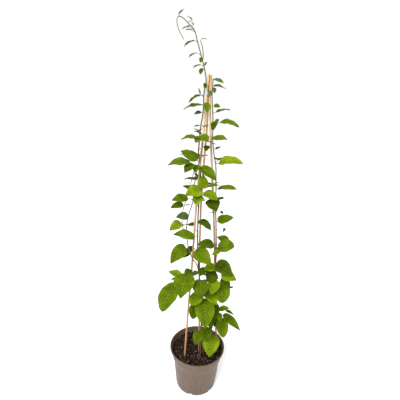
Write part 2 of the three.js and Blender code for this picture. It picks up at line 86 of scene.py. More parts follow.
def hand_over(piece, name, node):
    piece.name = name
    piece.data.name = name
    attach(piece, "root")
    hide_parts(node)
    triangles = sum(len(face.vertices) - 2 for face in piece.data.polygons)
    print(f"{name}: {triangles} triangles, stands for {node}")


# %% [markdown]
# Three more helpers save repeating: a twin is a copy with its own mesh, a stored reading is one number for
# each point of a mesh that a finish can use, and smoothing keeps the edges that are sharper than an angle.


# %% Twins, readings and smoothing
def twin_of(thing):
    twin = thing.copy()
    twin.data = thing.data.copy()
    bpy.context.collection.objects.link(twin)
    return twin


def store(mesh, name, values):
    mesh.attributes.new(name, "FLOAT", "POINT").data.foreach_set("value", values)


def smooth_below(degrees):
    bpy.ops.object.shade_smooth_by_angle(angle=math.radians(degrees))


# %% [markdown]
# ## Camera
# The photograph was taken from a little above the canes, looking down 20 degrees, and the picture leans
# by 2.6 degrees. The focal length is 330 pixels in a frame of 400, which is 29.7 mm on a 36 mm sensor.

# %% Camera
PHOTO_PIXELS = 400
FOCAL_PIXELS = 330
SENSOR = 36.0
CAMERA_PLACE = Vector((-0.0105, -0.727, 0.820))
CAMERA_PITCH = math.radians(-20)
CAMERA_ROLL = math.radians(2.6)

bpy.ops.object.camera_add()
camera = bpy.context.object
camera.name = "camera"
camera.data.sensor_width = SENSOR
camera.data.lens = SENSOR * FOCAL_PIXELS / PHOTO_PIXELS
level_view = Matrix.Rotation(math.radians(90) + CAMERA_PITCH, 4, "X")
camera.matrix_world = Matrix.Translation(CAMERA_PLACE) @ level_view @ Matrix.Rotation(CAMERA_ROLL, 4, "Z")
camera.data.clip_start = 0.01
bpy.context.scene.camera = camera
print("lens in mm:", round(camera.data.lens, 2))

# %% [markdown]
# ## Light and floor
# Plants for a catalogue are lit softly on white, with the main light high at the front left. A white
# surrounding fills the shadows, and one large area light gives the leaves their bright and dark sides.

# %% Light and floor
FLOOR_RADIUS = 6.0
FLOOR_DROP = 0.0004
LIGHT_AIM = Vector((0.0, 0.0, 0.5))
bpy.context.scene.view_settings.view_transform = "Standard"


def soft_light(name, place, size, power):
    bpy.ops.object.light_add(type="AREA", location=place)
    light = bpy.context.object
    light.name = name
    light.data.size = size
    light.data.energy = power
    light.rotation_euler = (LIGHT_AIM - Vector(place)).to_track_quat("-Z", "Y").to_euler()


soft_light("key_light", (-0.75, -1.6, 2.1), 1.5, 84)

white_room = bpy.data.worlds.new("white_room")
white_room.use_nodes = True
white_room.node_tree.nodes["Background"].inputs["Color"].default_value = (1, 1, 1, 1)
white_room.node_tree.nodes["Background"].inputs["Strength"].default_value = 1.0
bpy.context.scene.world = white_room

bpy.ops.mesh.primitive_circle_add(
    vertices=96, radius=FLOOR_RADIUS, fill_type="NGON", location=(0, 0, -FLOOR_DROP)
)
floor = settle(bpy.context.object)
floor.name = "floor"
floor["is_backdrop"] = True

# %% [markdown]
# ## Finishes
# A finish is a small network of nodes that ends in the Principled shader. These helpers add the few kinds
# of node that this plant needs: a sum, one axis of a place, a noise, a range of colours, a smooth threshold,
# a mix and a bump. The helper called vary moves a value up and down with a pattern round its middle.
# Patterns read Object coordinates, or the blade's own UV map where they follow the leaf.


# %% Helpers for finishes and sums
def new_finish(name, roughness, specular):
    finish = bpy.data.materials.new(name)
    finish.use_nodes = True
    shader = finish.node_tree.nodes["Principled BSDF"]
    shader.inputs["Roughness"].default_value = roughness
    shader.inputs["Specular IOR Level"].default_value = specular
    return finish, finish.node_tree, shader


def feed(tree, socket, value):
    if isinstance(value, bpy.types.NodeSocket):
        tree.links.new(value, socket)
    else:
        socket.default_value = value


def maths(tree, operation, first, second=0.5, third=0.5):
    node = tree.nodes.new("ShaderNodeMath")
    node.operation = operation
    for socket, value in zip(node.inputs, (first, second, third)):
        feed(tree, socket, value)
    return node.outputs[0]


def vary(tree, value, pattern, amount, middle=0.5):
    return maths(tree, "MULTIPLY_ADD", maths(tree, "SUBTRACT", pattern, middle), amount, value)


def axis_of(tree, vector, axis):
    node = tree.nodes.new("ShaderNodeSeparateXYZ")
    tree.links.new(vector, node.inputs["Vector"])
    return node.outputs[axis]


# %% Helpers for patterns, colours and bumps
def object_place(tree, stretch=(1, 1, 1)):
    coordinates = tree.nodes.new("ShaderNodeTexCoord")
    mapping = tree.nodes.new("ShaderNodeMapping")
    mapping.inputs["Scale"].default_value = stretch
    tree.links.new(coordinates.outputs["Object"], mapping.inputs["Vector"])
    return mapping.outputs["Vector"]


def noise(tree, place, scale, detail=3.0, roughness=0.5):
    node = tree.nodes.new("ShaderNodeTexNoise")
    tree.links.new(place, node.inputs["Vector"])
    node.inputs["Scale"].default_value = scale
    node.inputs["Detail"].default_value = detail
    node.inputs["Roughness"].default_value = roughness
    return node.outputs["Fac"]


def reading(tree, name):
    node = tree.nodes.new("ShaderNodeAttribute")
    node.attribute_name = name
    return node.outputs["Fac"]


def colours(tree, value, stops):
    node = tree.nodes.new("ShaderNodeValToRGB")
    band = node.color_ramp
    while len(band.elements) < len(stops):
        band.elements.new(0.5)
    for element, (position, colour) in zip(band.elements, stops):
        element.position = position
        element.color = (*colour, 1)
    feed(tree, node.inputs["Fac"], value)
    return node.outputs["Color"]


def smooth_step(tree, value, low, high, start=0.0, end=1.0):
    node = tree.nodes.new("ShaderNodeMapRange")
    node.interpolation_type = "SMOOTHSTEP"
    feed(tree, node.inputs["Value"], value)
    for socket, number in zip(("From Min", "From Max", "To Min", "To Max"), (low, high, start, end)):
        node.inputs[socket].default_value = number
    return node.outputs["Result"]


def blend(tree, share, first, second):
    node = tree.nodes.new("ShaderNodeMix")
    node.data_type = "RGBA"
    feed(tree, node.inputs[0], share)
    for socket, colour in ((node.inputs[6], first), (node.inputs[7], second)):
        feed(tree, socket, colour if isinstance(colour, bpy.types.NodeSocket) else (*colour, 1))
    return node.outputs[2]


def bump(tree, shader, height, depth):
    node = tree.nodes.new("ShaderNodeBump")
    node.inputs["Distance"].default_value = depth
    tree.links.new(height, node.inputs["Height"])
    tree.links.new(node.outputs["Normal"], shader.inputs["Normal"])


floor_finish, tree, shader = new_finish("floor_white", 0.9, 0.0)
shader.inputs["Base Color"].default_value = (1, 1, 1, 1)
floor.data.materials.append(floor_finish)

# %% [markdown]
# ### Pot plastic
# The pot is injection-moulded in a warm grey-brown plastic with a soft sheen. Flow in the mould leaves
# faint upright streaks, and handling leaves a fine mottle, so both vary the colour and the gloss a little.
# Faces that look down, such as the step below the collar, get painted shade: a darker colour that stands for
# the shade under them.


# %% Pot plastic
def pot_finish():
    finish, tree, shader = new_finish("pot_plastic", 0.45, 0.3)
    streaks = noise(tree, object_place(tree, (1, 1, 0.08)), 160, 2.0)
    mottle = noise(tree, object_place(tree), 420, 4.0)
    value = maths(tree, "MULTIPLY_ADD", streaks, 0.6, maths(tree, "MULTIPLY", mottle, 0.4))
    facing = axis_of(tree, tree.nodes.new("ShaderNodeNewGeometry").outputs["Normal"], "Z")
    # Painted shade: faces that look down blend towards a dark brown, as the shade under the collar step.
    painted_underside_shade = smooth_step(tree, facing, -0.6, -0.26, 0.6, 0.0)
    stops = ((0.35, (0.078, 0.052, 0.035)), (0.52, (0.100, 0.067, 0.046)), (0.7, (0.125, 0.086, 0.061)))
    colour = blend(tree, painted_underside_shade, colours(tree, value, stops), (0.045, 0.03, 0.02))
    tree.links.new(colour, shader.inputs["Base Color"])
    tree.links.new(smooth_step(tree, value, 0.3, 0.7, 0.42, 0.56), shader.inputs["Roughness"])
    bump(tree, shader, value, 0.0002)
    return finish


POT_PLASTIC = pot_finish()

# %% [markdown]
# ### Compost
# The compost is dark, moist bark and peat. The heap itself is nearly black, and each loose crumb on it has
# its own tone, read from an attribute: most are dark brown, some are tan fibres, and a few are pale grit.


# %% Compost
def compost_finish():
    finish, tree, shader = new_finish("bark_compost", 0.8, 0.08)
    grain = noise(tree, object_place(tree), 350, 5.0, 0.65)
    value = vary(tree, reading(tree, "tone"), grain, 0.35)
    stops = (
        (0.0, (0.004, 0.002, 0.0015)),
        (0.3, (0.020, 0.0095, 0.0075)),
        (0.55, (0.075, 0.042, 0.028)),
        (0.75, (0.25, 0.165, 0.105)),
        (1.0, (0.62, 0.55, 0.45)),
    )
    tree.links.new(colours(tree, value, stops), shader.inputs["Base Color"])
    bump(tree, shader, grain, 0.0012)
    return finish


COMPOST = compost_finish()

# %% [markdown]
# ### Split cane
# A split cane is a strip of bamboo. Its skin side is smooth and orange-brown. Its cut side is pale straw and
# faces the key light, so its pale colour is partly painted light, and the darker skin side is partly painted
# shade.
# Fibres run along both, so the noise is squeezed across the cane and stretched along it. The cane is darker
# towards its foot than at its top.


# %% Split cane
TOP_COLOURS_FROM = (0.45, 0.72)


def cane_finish(name, roughness, lower_colours, top_colours):
    finish, tree, shader = new_finish(name, roughness, 0.2)
    fibres = noise(tree, object_place(tree, (1, 1, 0.03)), 900, 3.0)
    patches = noise(tree, object_place(tree, (1, 1, 0.25)), 45, 2.0)
    value = maths(tree, "MULTIPLY_ADD", fibres, 0.55, maths(tree, "MULTIPLY", patches, 0.45))
    stops = (0.3, 0.5, 0.7)
    low = colours(tree, value, tuple(zip(stops, lower_colours)))
    high = colours(tree, value, tuple(zip(stops, top_colours)))
    # The colours get darker towards the foot of the cane, below this band of heights.
    height = smooth_step(tree, axis_of(tree, object_place(tree), "Z"), *TOP_COLOURS_FROM)
    tree.links.new(blend(tree, height, low, high), shader.inputs["Base Color"])
    bump(tree, shader, fibres, 0.0004)
    return finish


# The pale cut-side finish is partly painted light and the darker skin finish partly painted shade, because
# the cut side faces the light.
CANE_CUT_LIT = cane_finish(
    "cane_cut_side_painted_light",
    0.62,
    ((0.22, 0.11, 0.04), (0.34, 0.195, 0.085), (0.44, 0.28, 0.14)),
    ((0.38, 0.22, 0.08), (0.56, 0.41, 0.19), (0.66, 0.53, 0.30)),
)
CANE_SKIN_SHADED = cane_finish(
    "cane_skin_side_painted_shade",
    0.42,
    ((0.14, 0.06, 0.018), (0.25, 0.125, 0.045), (0.36, 0.2, 0.085)),
    ((0.18, 0.08, 0.025), (0.32, 0.17, 0.065), (0.46, 0.29, 0.13)),
)

# %% [markdown]
# ### Bark and green shoots
# A young vine is brown and woody at its foot, purple-grey along its thin shoots, and olive green where it
# still grows. Each stem carries an attribute called age, from 0 at the green tip to 1 at the woody foot.


# %% Bark and green shoots
def shoot_finish():
    finish, tree, shader = new_finish("shoot_bark", 0.6, 0.15)
    streaks = noise(tree, object_place(tree, (1, 1, 0.12)), 700, 4.0)
    value = vary(tree, reading(tree, "age"), streaks, 0.35)
    stops = (
        (0.0, (0.10, 0.125, 0.012)),
        (0.25, (0.085, 0.095, 0.02)),
        (0.5, (0.11, 0.075, 0.062)),
        (0.75, (0.09, 0.048, 0.034)),
        (1.0, (0.12, 0.06, 0.032)),
    )
    tree.links.new(colours(tree, value, stops), shader.inputs["Base Color"])
    bump(tree, shader, streaks, 0.0004)
    return finish


SHOOT_BARK = shoot_finish()
STALK, tree, shader = new_finish("leaf_stalk", 0.5, 0.25)
blush = noise(tree, object_place(tree), 90, 2.0)
tree.links.new(
    colours(tree, blush, ((0.35, (0.10, 0.11, 0.02)), (0.65, (0.16, 0.055, 0.035)))),
    shader.inputs["Base Color"],
)

# %% [markdown]
# ### Blades
# The upper face of a blade is a saturated green with a low gloss. Its veins leave the rib in pairs, curve
# towards the tip and lie sunk between softly raised fields. The sunk veins are painted darker and the fields
# lighter, as painted shade in the valleys, and the blade is painted darker along the rib and lighter towards
# the edge, as painted shade in the fold and painted light on the edge. The UV map holds the share of the
# blade's length and the share of its half width, so one formula draws the veins on every blade. Two
# attributes choose the colour: tone runs from a dark blade to a bright one, and grey dulls it.

# %% Vein pattern
VEIN_PAIRS = 8
VEIN_SWEEP = 0.34
VEIN_CURVE = 1.3
VEIN_DRIFT = 0.17


def vein_masks(tree):
    where = tree.nodes.new("ShaderNodeUVMap")
    where.uv_map = "blade"
    along = axis_of(tree, where.outputs["UV"], "X")
    hand = maths(tree, "MULTIPLY_ADD", axis_of(tree, where.outputs["UV"], "Y"), 2.0, -1.0)
    across = maths(tree, "ABSOLUTE", hand)
    swept = maths(tree, "MULTIPLY", maths(tree, "POWER", across, VEIN_CURVE), VEIN_SWEEP)
    drift = noise(tree, object_place(tree), 70, 2.0)
    place = vary(tree, maths(tree, "SUBTRACT", along, swept), drift, VEIN_DRIFT)
    phase = maths(tree, "MULTIPLY", place, VEIN_PAIRS)
    field = maths(tree, "PINGPONG", phase, 0.5)
    veins = smooth_step(tree, field, 0.02, 0.13, 1.0, 0.0)
    rib = smooth_step(tree, across, 0.02, 0.09, 1.0, 0.0)
    return field, veins, rib, across


# %% Blade finishes
# Of these contrasts, the first paints shade in the sunk veins and light on the fields, and the third paints
# shade along the rib and light at the edge. The second is the blade's own mottle.
VALLEY_SHADE_CONTRAST = 0.4
CLOUD_CONTRAST = 0.66
RIB_SHADE_EDGE_LIGHT = 0.16


def upper_finish():
    finish, tree, shader = new_finish("blade_upper", 0.5, 0.03)
    field, veins, rib, across = vein_masks(tree)
    place = object_place(tree)
    value = vary(tree, reading(tree, "tone"), noise(tree, place, 60, 3.0), CLOUD_CONTRAST)
    # Painted shade and light: the blade is darker along the rib, in its fold, and lighter towards the edge.
    value = vary(tree, value, across, RIB_SHADE_EDGE_LIGHT)
    # Painted shade: the fields are lighter and the sunk veins darker, as the shade in the valleys between
    # the fields.
    value = vary(tree, value, field, VALLEY_SHADE_CONTRAST, 0.25)
    value = maths(tree, "MULTIPLY_ADD", veins, -0.10, value)
    stops = (
        (0.0, (0.020, 0.036, 0.0006)),
        (0.3, (0.052, 0.088, 0.0012)),
        (0.6, (0.098, 0.155, 0.002)),
        (0.8, (0.145, 0.215, 0.003)),
        (1.0, (0.215, 0.290, 0.008)),
    )
    green = colours(tree, value, stops)
    green = blend(tree, maths(tree, "MULTIPLY", rib, 0.35), green, (0.15, 0.2, 0.03))
    green = blend(tree, reading(tree, "grey"), green, (0.055, 0.088, 0.036))
    tree.links.new(green, shader.inputs["Base Color"])
    net = maths(tree, "MULTIPLY", noise(tree, place, 900, 3.0), 0.25)
    height = maths(tree, "SUBTRACT", net, maths(tree, "MAXIMUM", veins, rib))
    bump(tree, shader, height, 0.0006)
    return finish


def under_finish():
    finish, tree, shader = new_finish("blade_under", 0.7, 0.05)
    field, veins, rib, across = vein_masks(tree)
    clouds = maths(tree, "MULTIPLY", noise(tree, object_place(tree), 80, 3.0), 0.3)
    value = maths(tree, "MULTIPLY_ADD", reading(tree, "tone"), 0.7, clouds)
    stops = ((0.0, (0.042, 0.068, 0.008)), (0.5, (0.085, 0.13, 0.012)), (1.0, (0.17, 0.23, 0.02)))
    green = colours(tree, value, stops)
    lines = maths(tree, "MULTIPLY", maths(tree, "MAXIMUM", veins, rib), 0.4)
    green = blend(tree, lines, green, (0.16, 0.2, 0.06))
    green = blend(tree, reading(tree, "grey"), green, (0.09, 0.125, 0.065))
    tree.links.new(green, shader.inputs["Base Color"])
    bump(tree, shader, maths(tree, "MAXIMUM", veins, rib), 0.0005)
    return finish


BLADE_UPPER = upper_finish()
BLADE_UNDER = under_finish()

# %% [markdown]
# ### Tie
# The tie is a short sleeve of soft plastic, pale and slightly bluish on the left. Its right half, on the
# side away from the key light, is painted dark green as painted shade. The thin ring lower down has
# weathered to brown.


# %% Tie finishes
TIE_SHADE_EDGE = (-0.0062, -0.0048)


def tie_finish(name, left, right):
    finish, tree, shader = new_finish(name, 0.5, 0.2)
    scuffs = noise(tree, object_place(tree), 500, 4.0)
    # Where the two colours differ, the right one is painted shade on the side away from the light.
    side = smooth_step(tree, axis_of(tree, object_place(tree), "X"), *TIE_SHADE_EDGE)
    tints = [colours(tree, scuffs, ((0.3, low), (0.7, high))) for low, high in (left, right)]
    tree.links.new(blend(tree, side, *tints), shader.inputs["Base Color"])
    bump(tree, shader, scuffs, 0.0002)
    return finish


# The dark green right colour is painted shade.
TIE_PALE_AND_SHADED = tie_finish(
    "tie_pale_with_painted_shade",
    ((0.33, 0.38, 0.39), (0.46, 0.51, 0.52)),
    ((0.075, 0.095, 0.035), (0.13, 0.155, 0.07)),
)
BROWN = ((0.12, 0.07, 0.04), (0.22, 0.13, 0.07))
TIE_BROWN = tie_finish("tie_brown", BROWN, BROWN)
print("finishes:", sorted(material.name for material in bpy.data.materials))

# %% [markdown]
# ## Pot
# A pot is a turned form, so it starts as one circle at its foot. The circle is extruded upwards ring by
# ring, each ring moved to its height and resized to its radius: up the outside, over the lip and down the
# inside. The outside has a flared collar with two fine grooves below the lip. Each rounding is a list of
# pairs: how far a ring stands in from the full radius, and its height above the edge that is rounded.

# %% Pot dimensions
POT_HEIGHT = 0.126
RIM_RADIUS = 0.075
BASE_RADIUS = 0.0555
COLLAR_FOOT = 0.092
COLLAR_FOOT_RADIUS = 0.0665
COLLAR_STEP = 0.0025
BODY_TOP = COLLAR_FOOT - COLLAR_STEP
BODY_TOP_RADIUS = COLLAR_FOOT_RADIUS - COLLAR_STEP
LIP_HEIGHT = 0.005
LIP_DEPTH = 0.002
POT_WALL = 0.0016
POT_FLOOR = 0.002
POT_SIDES = 144
GROOVES = (0.113, 0.103)
GROOVE_DEPTH = 0.0005
GROOVE_HALF = 0.0014
NOTCH_COUNT = 6
NOTCH_TURN = math.radians(47)
NOTCH_WIDTH = 0.016
NOTCH_HEIGHT = 0.007
NOTCH_DEPTH = 0.012
SOIL_HEIGHT = 0.112
LIP_FOOT = POT_HEIGHT - LIP_HEIGHT
FOOT_ROUND = ((0.003, 0.0), (0.0012, 0.0004), (0.0003, 0.0014))
BODY_HEIGHTS = (0.004, 0.012, 0.025, 0.045, 0.065, 0.08)
STEP_HOLLOW = ((-0.0002, -0.0035), (-0.0008, -0.001))
STEP_ROUND = ((0.0011, -0.0012), (0.0003, 0.0005))
COLLAR_START = COLLAR_FOOT + 0.003
LIP_UNDERSIDE = ((0.0004, 0.0002), (0.0, 0.0008))
LIP_TOP = (
    (0.0, -0.0012), (0.0004, -0.0004), (0.0013, 0.0), (0.0025, -0.0001), (0.0031, -0.0008),
)


def collar_radius(height):
    share = (height - COLLAR_FOOT) / (LIP_FOOT - COLLAR_FOOT)
    return COLLAR_FOOT_RADIUS + share * (RIM_RADIUS - LIP_DEPTH - COLLAR_FOOT_RADIUS)


def body_radius(height):
    return BASE_RADIUS + (BODY_TOP_RADIUS - BASE_RADIUS) * height / BODY_TOP


# %% Pot rings
def rounding(radius, height, pairs):
    return [(radius - inset, height + rise) for inset, rise in pairs]


def outer_rings():
    rings = rounding(BASE_RADIUS, 0.0, FOOT_ROUND)
    rings += [(body_radius(height), height) for height in BODY_HEIGHTS]
    for inset, rise in STEP_HOLLOW:
        rings.append((body_radius(BODY_TOP + rise) - inset, BODY_TOP + rise))
    rings += rounding(COLLAR_FOOT_RADIUS, COLLAR_FOOT, STEP_ROUND)
    rings.append((collar_radius(COLLAR_START), COLLAR_START))
    for middle in sorted(GROOVES):
        rings += [
            (collar_radius(middle - GROOVE_HALF), middle - GROOVE_HALF),
            (collar_radius(middle) - GROOVE_DEPTH, middle),
            (collar_radius(middle + GROOVE_HALF), middle + GROOVE_HALF),
        ]
    return rings


def lip_rings():
    rings = rounding(collar_radius(LIP_FOOT), LIP_FOOT, ((0.0002, -0.0003),))
    rings += rounding(RIM_RADIUS, LIP_FOOT, LIP_UNDERSIDE)
    return rings + rounding(RIM_RADIUS, POT_HEIGHT, LIP_TOP)


def inner_rings():
    return [
        (RIM_RADIUS - LIP_DEPTH - POT_WALL, LIP_FOOT),
        (collar_radius(SOIL_HEIGHT + 0.003) - POT_WALL, SOIL_HEIGHT + 0.003),
        (COLLAR_FOOT_RADIUS - POT_WALL, COLLAR_FOOT),
        (BODY_TOP_RADIUS - POT_WALL, BODY_TOP),
        (BASE_RADIUS - POT_WALL, 2 * POT_FLOOR),
        (BASE_RADIUS - POT_WALL - POT_FLOOR, POT_FLOOR),
    ]


# %% Turning up the pot
def raise_rings(rings):
    bpy.ops.object.mode_set(mode="EDIT")
    bpy.ops.mesh.select_all(action="SELECT")
    for (here, size), (there, next_size) in zip(rings, rings[1:]):
        step = [end - start for start, end in zip(here, there)]
        bpy.ops.mesh.extrude_region_move(TRANSFORM_OT_translate={"value": step})
        scale = next_size / size
        bpy.ops.transform.resize(value=(scale, scale, 1), center_override=there)
    bpy.ops.mesh.select_all(action="SELECT")
    bpy.ops.mesh.normals_make_consistent(inside=False)
    bpy.ops.object.mode_set(mode="OBJECT")


def turn_up(rings, sides):
    radius, height = rings[0]
    bpy.ops.mesh.primitive_circle_add(
        vertices=sides, radius=radius, fill_type="NGON", location=(0, 0, height)
    )
    form = settle(bpy.context.object)
    raise_rings([((0, 0, height), radius) for radius, height in rings])
    return form


pot_rings = outer_rings() + lip_rings() + inner_rings()
pot = turn_up(pot_rings, POT_SIDES)
print("pot rings:", len(pot_rings))

# %% [markdown]
# Six half-round notches at the foot let water out. One flattened cylinder is the cutter. It is copied
# round the foot, and a Boolean modifier takes all the copies out of the pot at once.

# %% Notches in the foot
bpy.ops.mesh.primitive_cylinder_add(
    vertices=24, radius=NOTCH_HEIGHT, depth=NOTCH_DEPTH, rotation=(math.radians(90), 0, 0),
    location=(0, BASE_RADIUS - NOTCH_DEPTH / 8, 0),
)
cutter = bpy.context.object
cutter.scale.x = NOTCH_WIDTH / (2 * NOTCH_HEIGHT)
settle(cutter)
cutters = []
for place in range(NOTCH_COUNT):
    twin = twin_of(cutter)
    twin.data.transform(Matrix.Rotation(NOTCH_TURN + 2 * math.pi * place / NOTCH_COUNT, 4, "Z"))
    cutters.append(twin)
bpy.data.objects.remove(cutter)
pick(*cutters)
bpy.ops.object.join()
cutters = bpy.context.object
pick(pot)
notching = pot.modifiers.new("notches", "BOOLEAN")
notching.operation = "DIFFERENCE"
notching.solver = "EXACT"
notching.object = cutters
bpy.ops.object.modifier_apply(modifier=notching.name)
bpy.data.objects.remove(cutters)
smooth_below(35)
pot.data.materials.clear()
pot.data.materials.append(POT_PLASTIC)
hand_over(pot, "pot_moulded", "pot")

# %% [markdown]
# ## Compost
# The filling is turned up in the same way, and its top is inset into many rings. Each point of the top is
# then lifted or sunk by a sum of waves, so the heap is uneven. On it lie loose fibres, chips and crumbs.
# Each kind is modelled once from a few faces, then copied in many sizes and turns by a seeded draw.

# %% Filling
SOIL_SIDES = 96
SOIL_GAP = 0.0012
SOIL_RINGS = 34
SOIL_LUMP = 0.0016
FILLING_TONE = 0.06
HEAP_REACH = 0.985
CRUMB_RISE = (-0.0004, 0.0010)
CRUMB_SEED = 41


def soil_lift(x, y):
    broad = math.sin(x / 0.007 + 1) * math.cos(y / 0.006)
    fine = math.sin(x / 0.0021 + 2 * math.sin(y / 0.0033)) * math.cos(y / 0.0017 + x / 0.004)
    return SOIL_LUMP * (broad + 0.5 * fine)


soil_edge = collar_radius(SOIL_HEIGHT) - POT_WALL - SOIL_GAP
rings = [
    (BASE_RADIUS - POT_WALL - SOIL_GAP - 0.005, POT_FLOOR + 0.0004),
    (BASE_RADIUS - POT_WALL - SOIL_GAP, POT_FLOOR + 0.005),
    (BODY_TOP_RADIUS - POT_WALL - SOIL_GAP, BODY_TOP),
    (COLLAR_FOOT_RADIUS - POT_WALL - SOIL_GAP, COLLAR_FOOT),
    (soil_edge, SOIL_HEIGHT - 0.001),
]
rings += [(soil_edge * (1 - step / SOIL_RINGS), SOIL_HEIGHT) for step in range(1, SOIL_RINGS)]
filling = turn_up(rings, SOIL_SIDES)
for vertex in filling.data.vertices:
    if vertex.co.z > SOIL_HEIGHT - 0.0005:
        vertex.co.z += soil_lift(vertex.co.x, vertex.co.y)
store(filling.data, "tone", [FILLING_TONE] * len(filling.data.vertices))
bpy.ops.object.shade_smooth()
filling.data.materials.append(COMPOST)
hand_over(filling, "compost_filling", "soil")


# %% Loose fibres, chips and crumbs
def crumb_pattern(name, size, roughen, draw):
    bpy.ops.mesh.primitive_ico_sphere_add(subdivisions=1, radius=0.5)
    pattern = bpy.context.object
    pattern.name = name
    for vertex in pattern.data.vertices:
        vertex.co *= 1 + roughen * draw.uniform(-1, 1)
        vertex.co = Vector(part * length for part, length in zip(vertex.co, size))
    corners = [vertex.co.copy() for vertex in pattern.data.vertices]
    faces = [tuple(face.vertices) for face in pattern.data.polygons]
    bpy.data.objects.remove(pattern)
    return corners, faces


def scatter_crumbs(name, kinds, draw):
    corners, faces, tones = [], [], []
    for (shape, shape_faces), count, scale, (low, high), flat in kinds:
        for place in range(count):
            reach = soil_edge * math.sqrt(draw.random()) * HEAP_REACH
            turn = draw.uniform(0, 2 * math.pi)
            x, y = reach * math.cos(turn), reach * math.sin(turn)
            size = draw.uniform(*scale)
            lie = Matrix.Rotation(draw.uniform(0, 2 * math.pi), 3, "Z")
            lie @= Matrix.Rotation(draw.uniform(-flat, flat), 3, "Y")
            lie @= Matrix.Rotation(draw.uniform(0, 2 * math.pi), 3, "X")
            z = SOIL_HEIGHT + soil_lift(x, y) + draw.uniform(*CRUMB_RISE)
            first = len(corners)
            for corner in shape:
                corners.append(lie @ corner * size + Vector((x, y, z)))
            faces += [tuple(first + corner for corner in face) for face in shape_faces]
            tones += [draw.uniform(low, high)] * len(shape)
    mesh = bpy.data.meshes.new(name)
    mesh.from_pydata(corners, [], faces)
    store(mesh, "tone", tones)
    heap = bpy.data.objects.new(name, mesh)
    bpy.context.collection.objects.link(heap)
    return heap


draw = random.Random(CRUMB_SEED)
fibre = crumb_pattern("fibre", (0.0075, 0.0011, 0.0008), 0.12, draw)
chip = crumb_pattern("chip", (0.0045, 0.0032, 0.0012), 0.22, draw)
crumb = crumb_pattern("crumb", (0.0024, 0.0021, 0.0018), 0.22, draw)
CRUMB_KINDS = (
    (fibre, 700, (0.6, 1.4), (0.05, 0.55), 0.5),
    (chip, 500, (0.6, 1.3), (0.02, 0.5), 0.6),
    (crumb, 1100, (0.5, 1.4), (0.0, 0.4), 1.5),
    (fibre, 340, (0.6, 1.2), (0.56, 0.8), 0.35),
    (chip, 110, (0.5, 0.9), (0.55, 0.82), 0.5),
    (crumb, 14, (0.4, 0.75), (0.9, 1.0), 1.5),
)
crumbs = scatter_crumbs("crumbs", CRUMB_KINDS, draw)
crumbs.data.materials.append(COMPOST)
hand_over(crumbs, "compost_crumbs", "soil")

# %% [markdown]
# ## Canes
# A split cane has a round skin side and a flat cut side, so its section is a circle with one side pressed
# flat. The section is extruded up the cane's centre-line. At each joint of the bamboo three close rings
# swell and shrink again. The flat side is turned to the key light and gets the pale straw finish, which is
# partly painted light, and the rest gets the darker skin, which is partly painted shade.

# %% Cane centre-lines, in millimetres
CANE_RADIUS = 2.6
CANE_SIDES = 18
CANE_STEP = 22
CANE_LINES = {
    "cane_left": (
        (-35, -29, 30), (-33, -28, 110), (-31, -25, 182), (-27, -21, 296), (-24, -18, 360),
        (-20.5, -13.5, 488), (-19, -11, 545), (-14, -8, 640), (-9.5, -5.5, 725), (-4.2, -2.4, 832),
    ),
    "cane_middle": (
        (6, -11, 30), (5, -9, 110), (0.5, -5, 250), (-3.8, -2, 350), (-6.5, 0, 420),
        (-8.2, 2, 545), (-6, 3, 640), (-3, 4, 725), (-3.4, 5.2, 829),
    ),
    "cane_right": (
        (47, 16, 40), (54, 18, 110), (45, 14, 246), (36.5, 11, 350), (29.5, 8, 450),
        (21, 5, 547), (12.2, 3.5, 641), (4.2, 0.6, 725), (0, 0.2, 790), (0.4, 0.6, 830),
    ),
}
CANE_JOINTS = {
    "cane_left": (165, 350, 535, 700),
    "cane_middle": (240, 430, 610, 770),
    "cane_right": (200, 365, 524, 690),
}
# Every cut side faces the key light at the front left, so its pale finish is partly painted light.
CUT_SIDE_TO_LIGHT = {"cane_left": -140, "cane_middle": -150, "cane_right": -140}


def point_at(line, height):
    top = next((place for place, point in enumerate(line) if point[2] >= height), len(line))
    if top == 0:
        return Vector(line[0])
    if top == len(line):
        return Vector(line[-1])
    low, high = Vector(line[top - 1]), Vector(line[top])
    return low.lerp(high, (height - low.z) / (high.z - low.z))


# %% Splitting and extruding a cane
JOINT_HALF = 2.6
JOINT_SWELL = 1.16
CUT_DEPTH = 0.35
CUT_FACING = 0.93
END_FACING = 0.7


def cane_stations(line, joints):
    foot, top = line[0][2], line[-1][2]
    count = round((top - foot) / CANE_STEP)
    stations = [(foot + (top - foot) * step / count, 1.0) for step in range(count + 1)]
    stations = [s for s in stations if all(abs(s[0] - joint) > 2 * JOINT_HALF for joint in joints)]
    for joint in joints:
        stations += [(joint - JOINT_HALF, 1.0), (joint + JOINT_HALF, 1.0)]
        stations += [(joint - 0.5, JOINT_SWELL), (joint + 0.5, JOINT_SWELL * 0.98)]
    return sorted(stations)


def press_flat(section, facing):
    outward = Vector((math.cos(facing), math.sin(facing), 0))
    middle = sum((vertex.co for vertex in section.data.vertices), Vector()) / len(section.data.vertices)
    limit = CUT_DEPTH * CANE_RADIUS * MM
    for vertex in section.data.vertices:
        proud = (vertex.co - middle).dot(outward) - limit
        if proud > 0:
            vertex.co -= outward * proud
    return outward


def split_cane(name, line, joints, facing):
    stations = cane_stations(line, joints)
    rings = [(point_at(line, height) * MM, swell) for height, swell in stations]
    bpy.ops.mesh.primitive_circle_add(
        vertices=CANE_SIDES, radius=CANE_RADIUS * MM, fill_type="NGON", location=rings[0][0]
    )
    cane = settle(bpy.context.object)
    outward = press_flat(cane, math.radians(facing))
    raise_rings(rings)
    cane.data.materials.append(CANE_SKIN_SHADED)
    cane.data.materials.append(CANE_CUT_LIT)
    for face in cane.data.polygons:
        cut = face.normal.dot(outward) > CUT_FACING or abs(face.normal.z) > END_FACING
        face.material_index = int(cut)
    smooth_below(32)
    hand_over(cane, name + "_split", name)


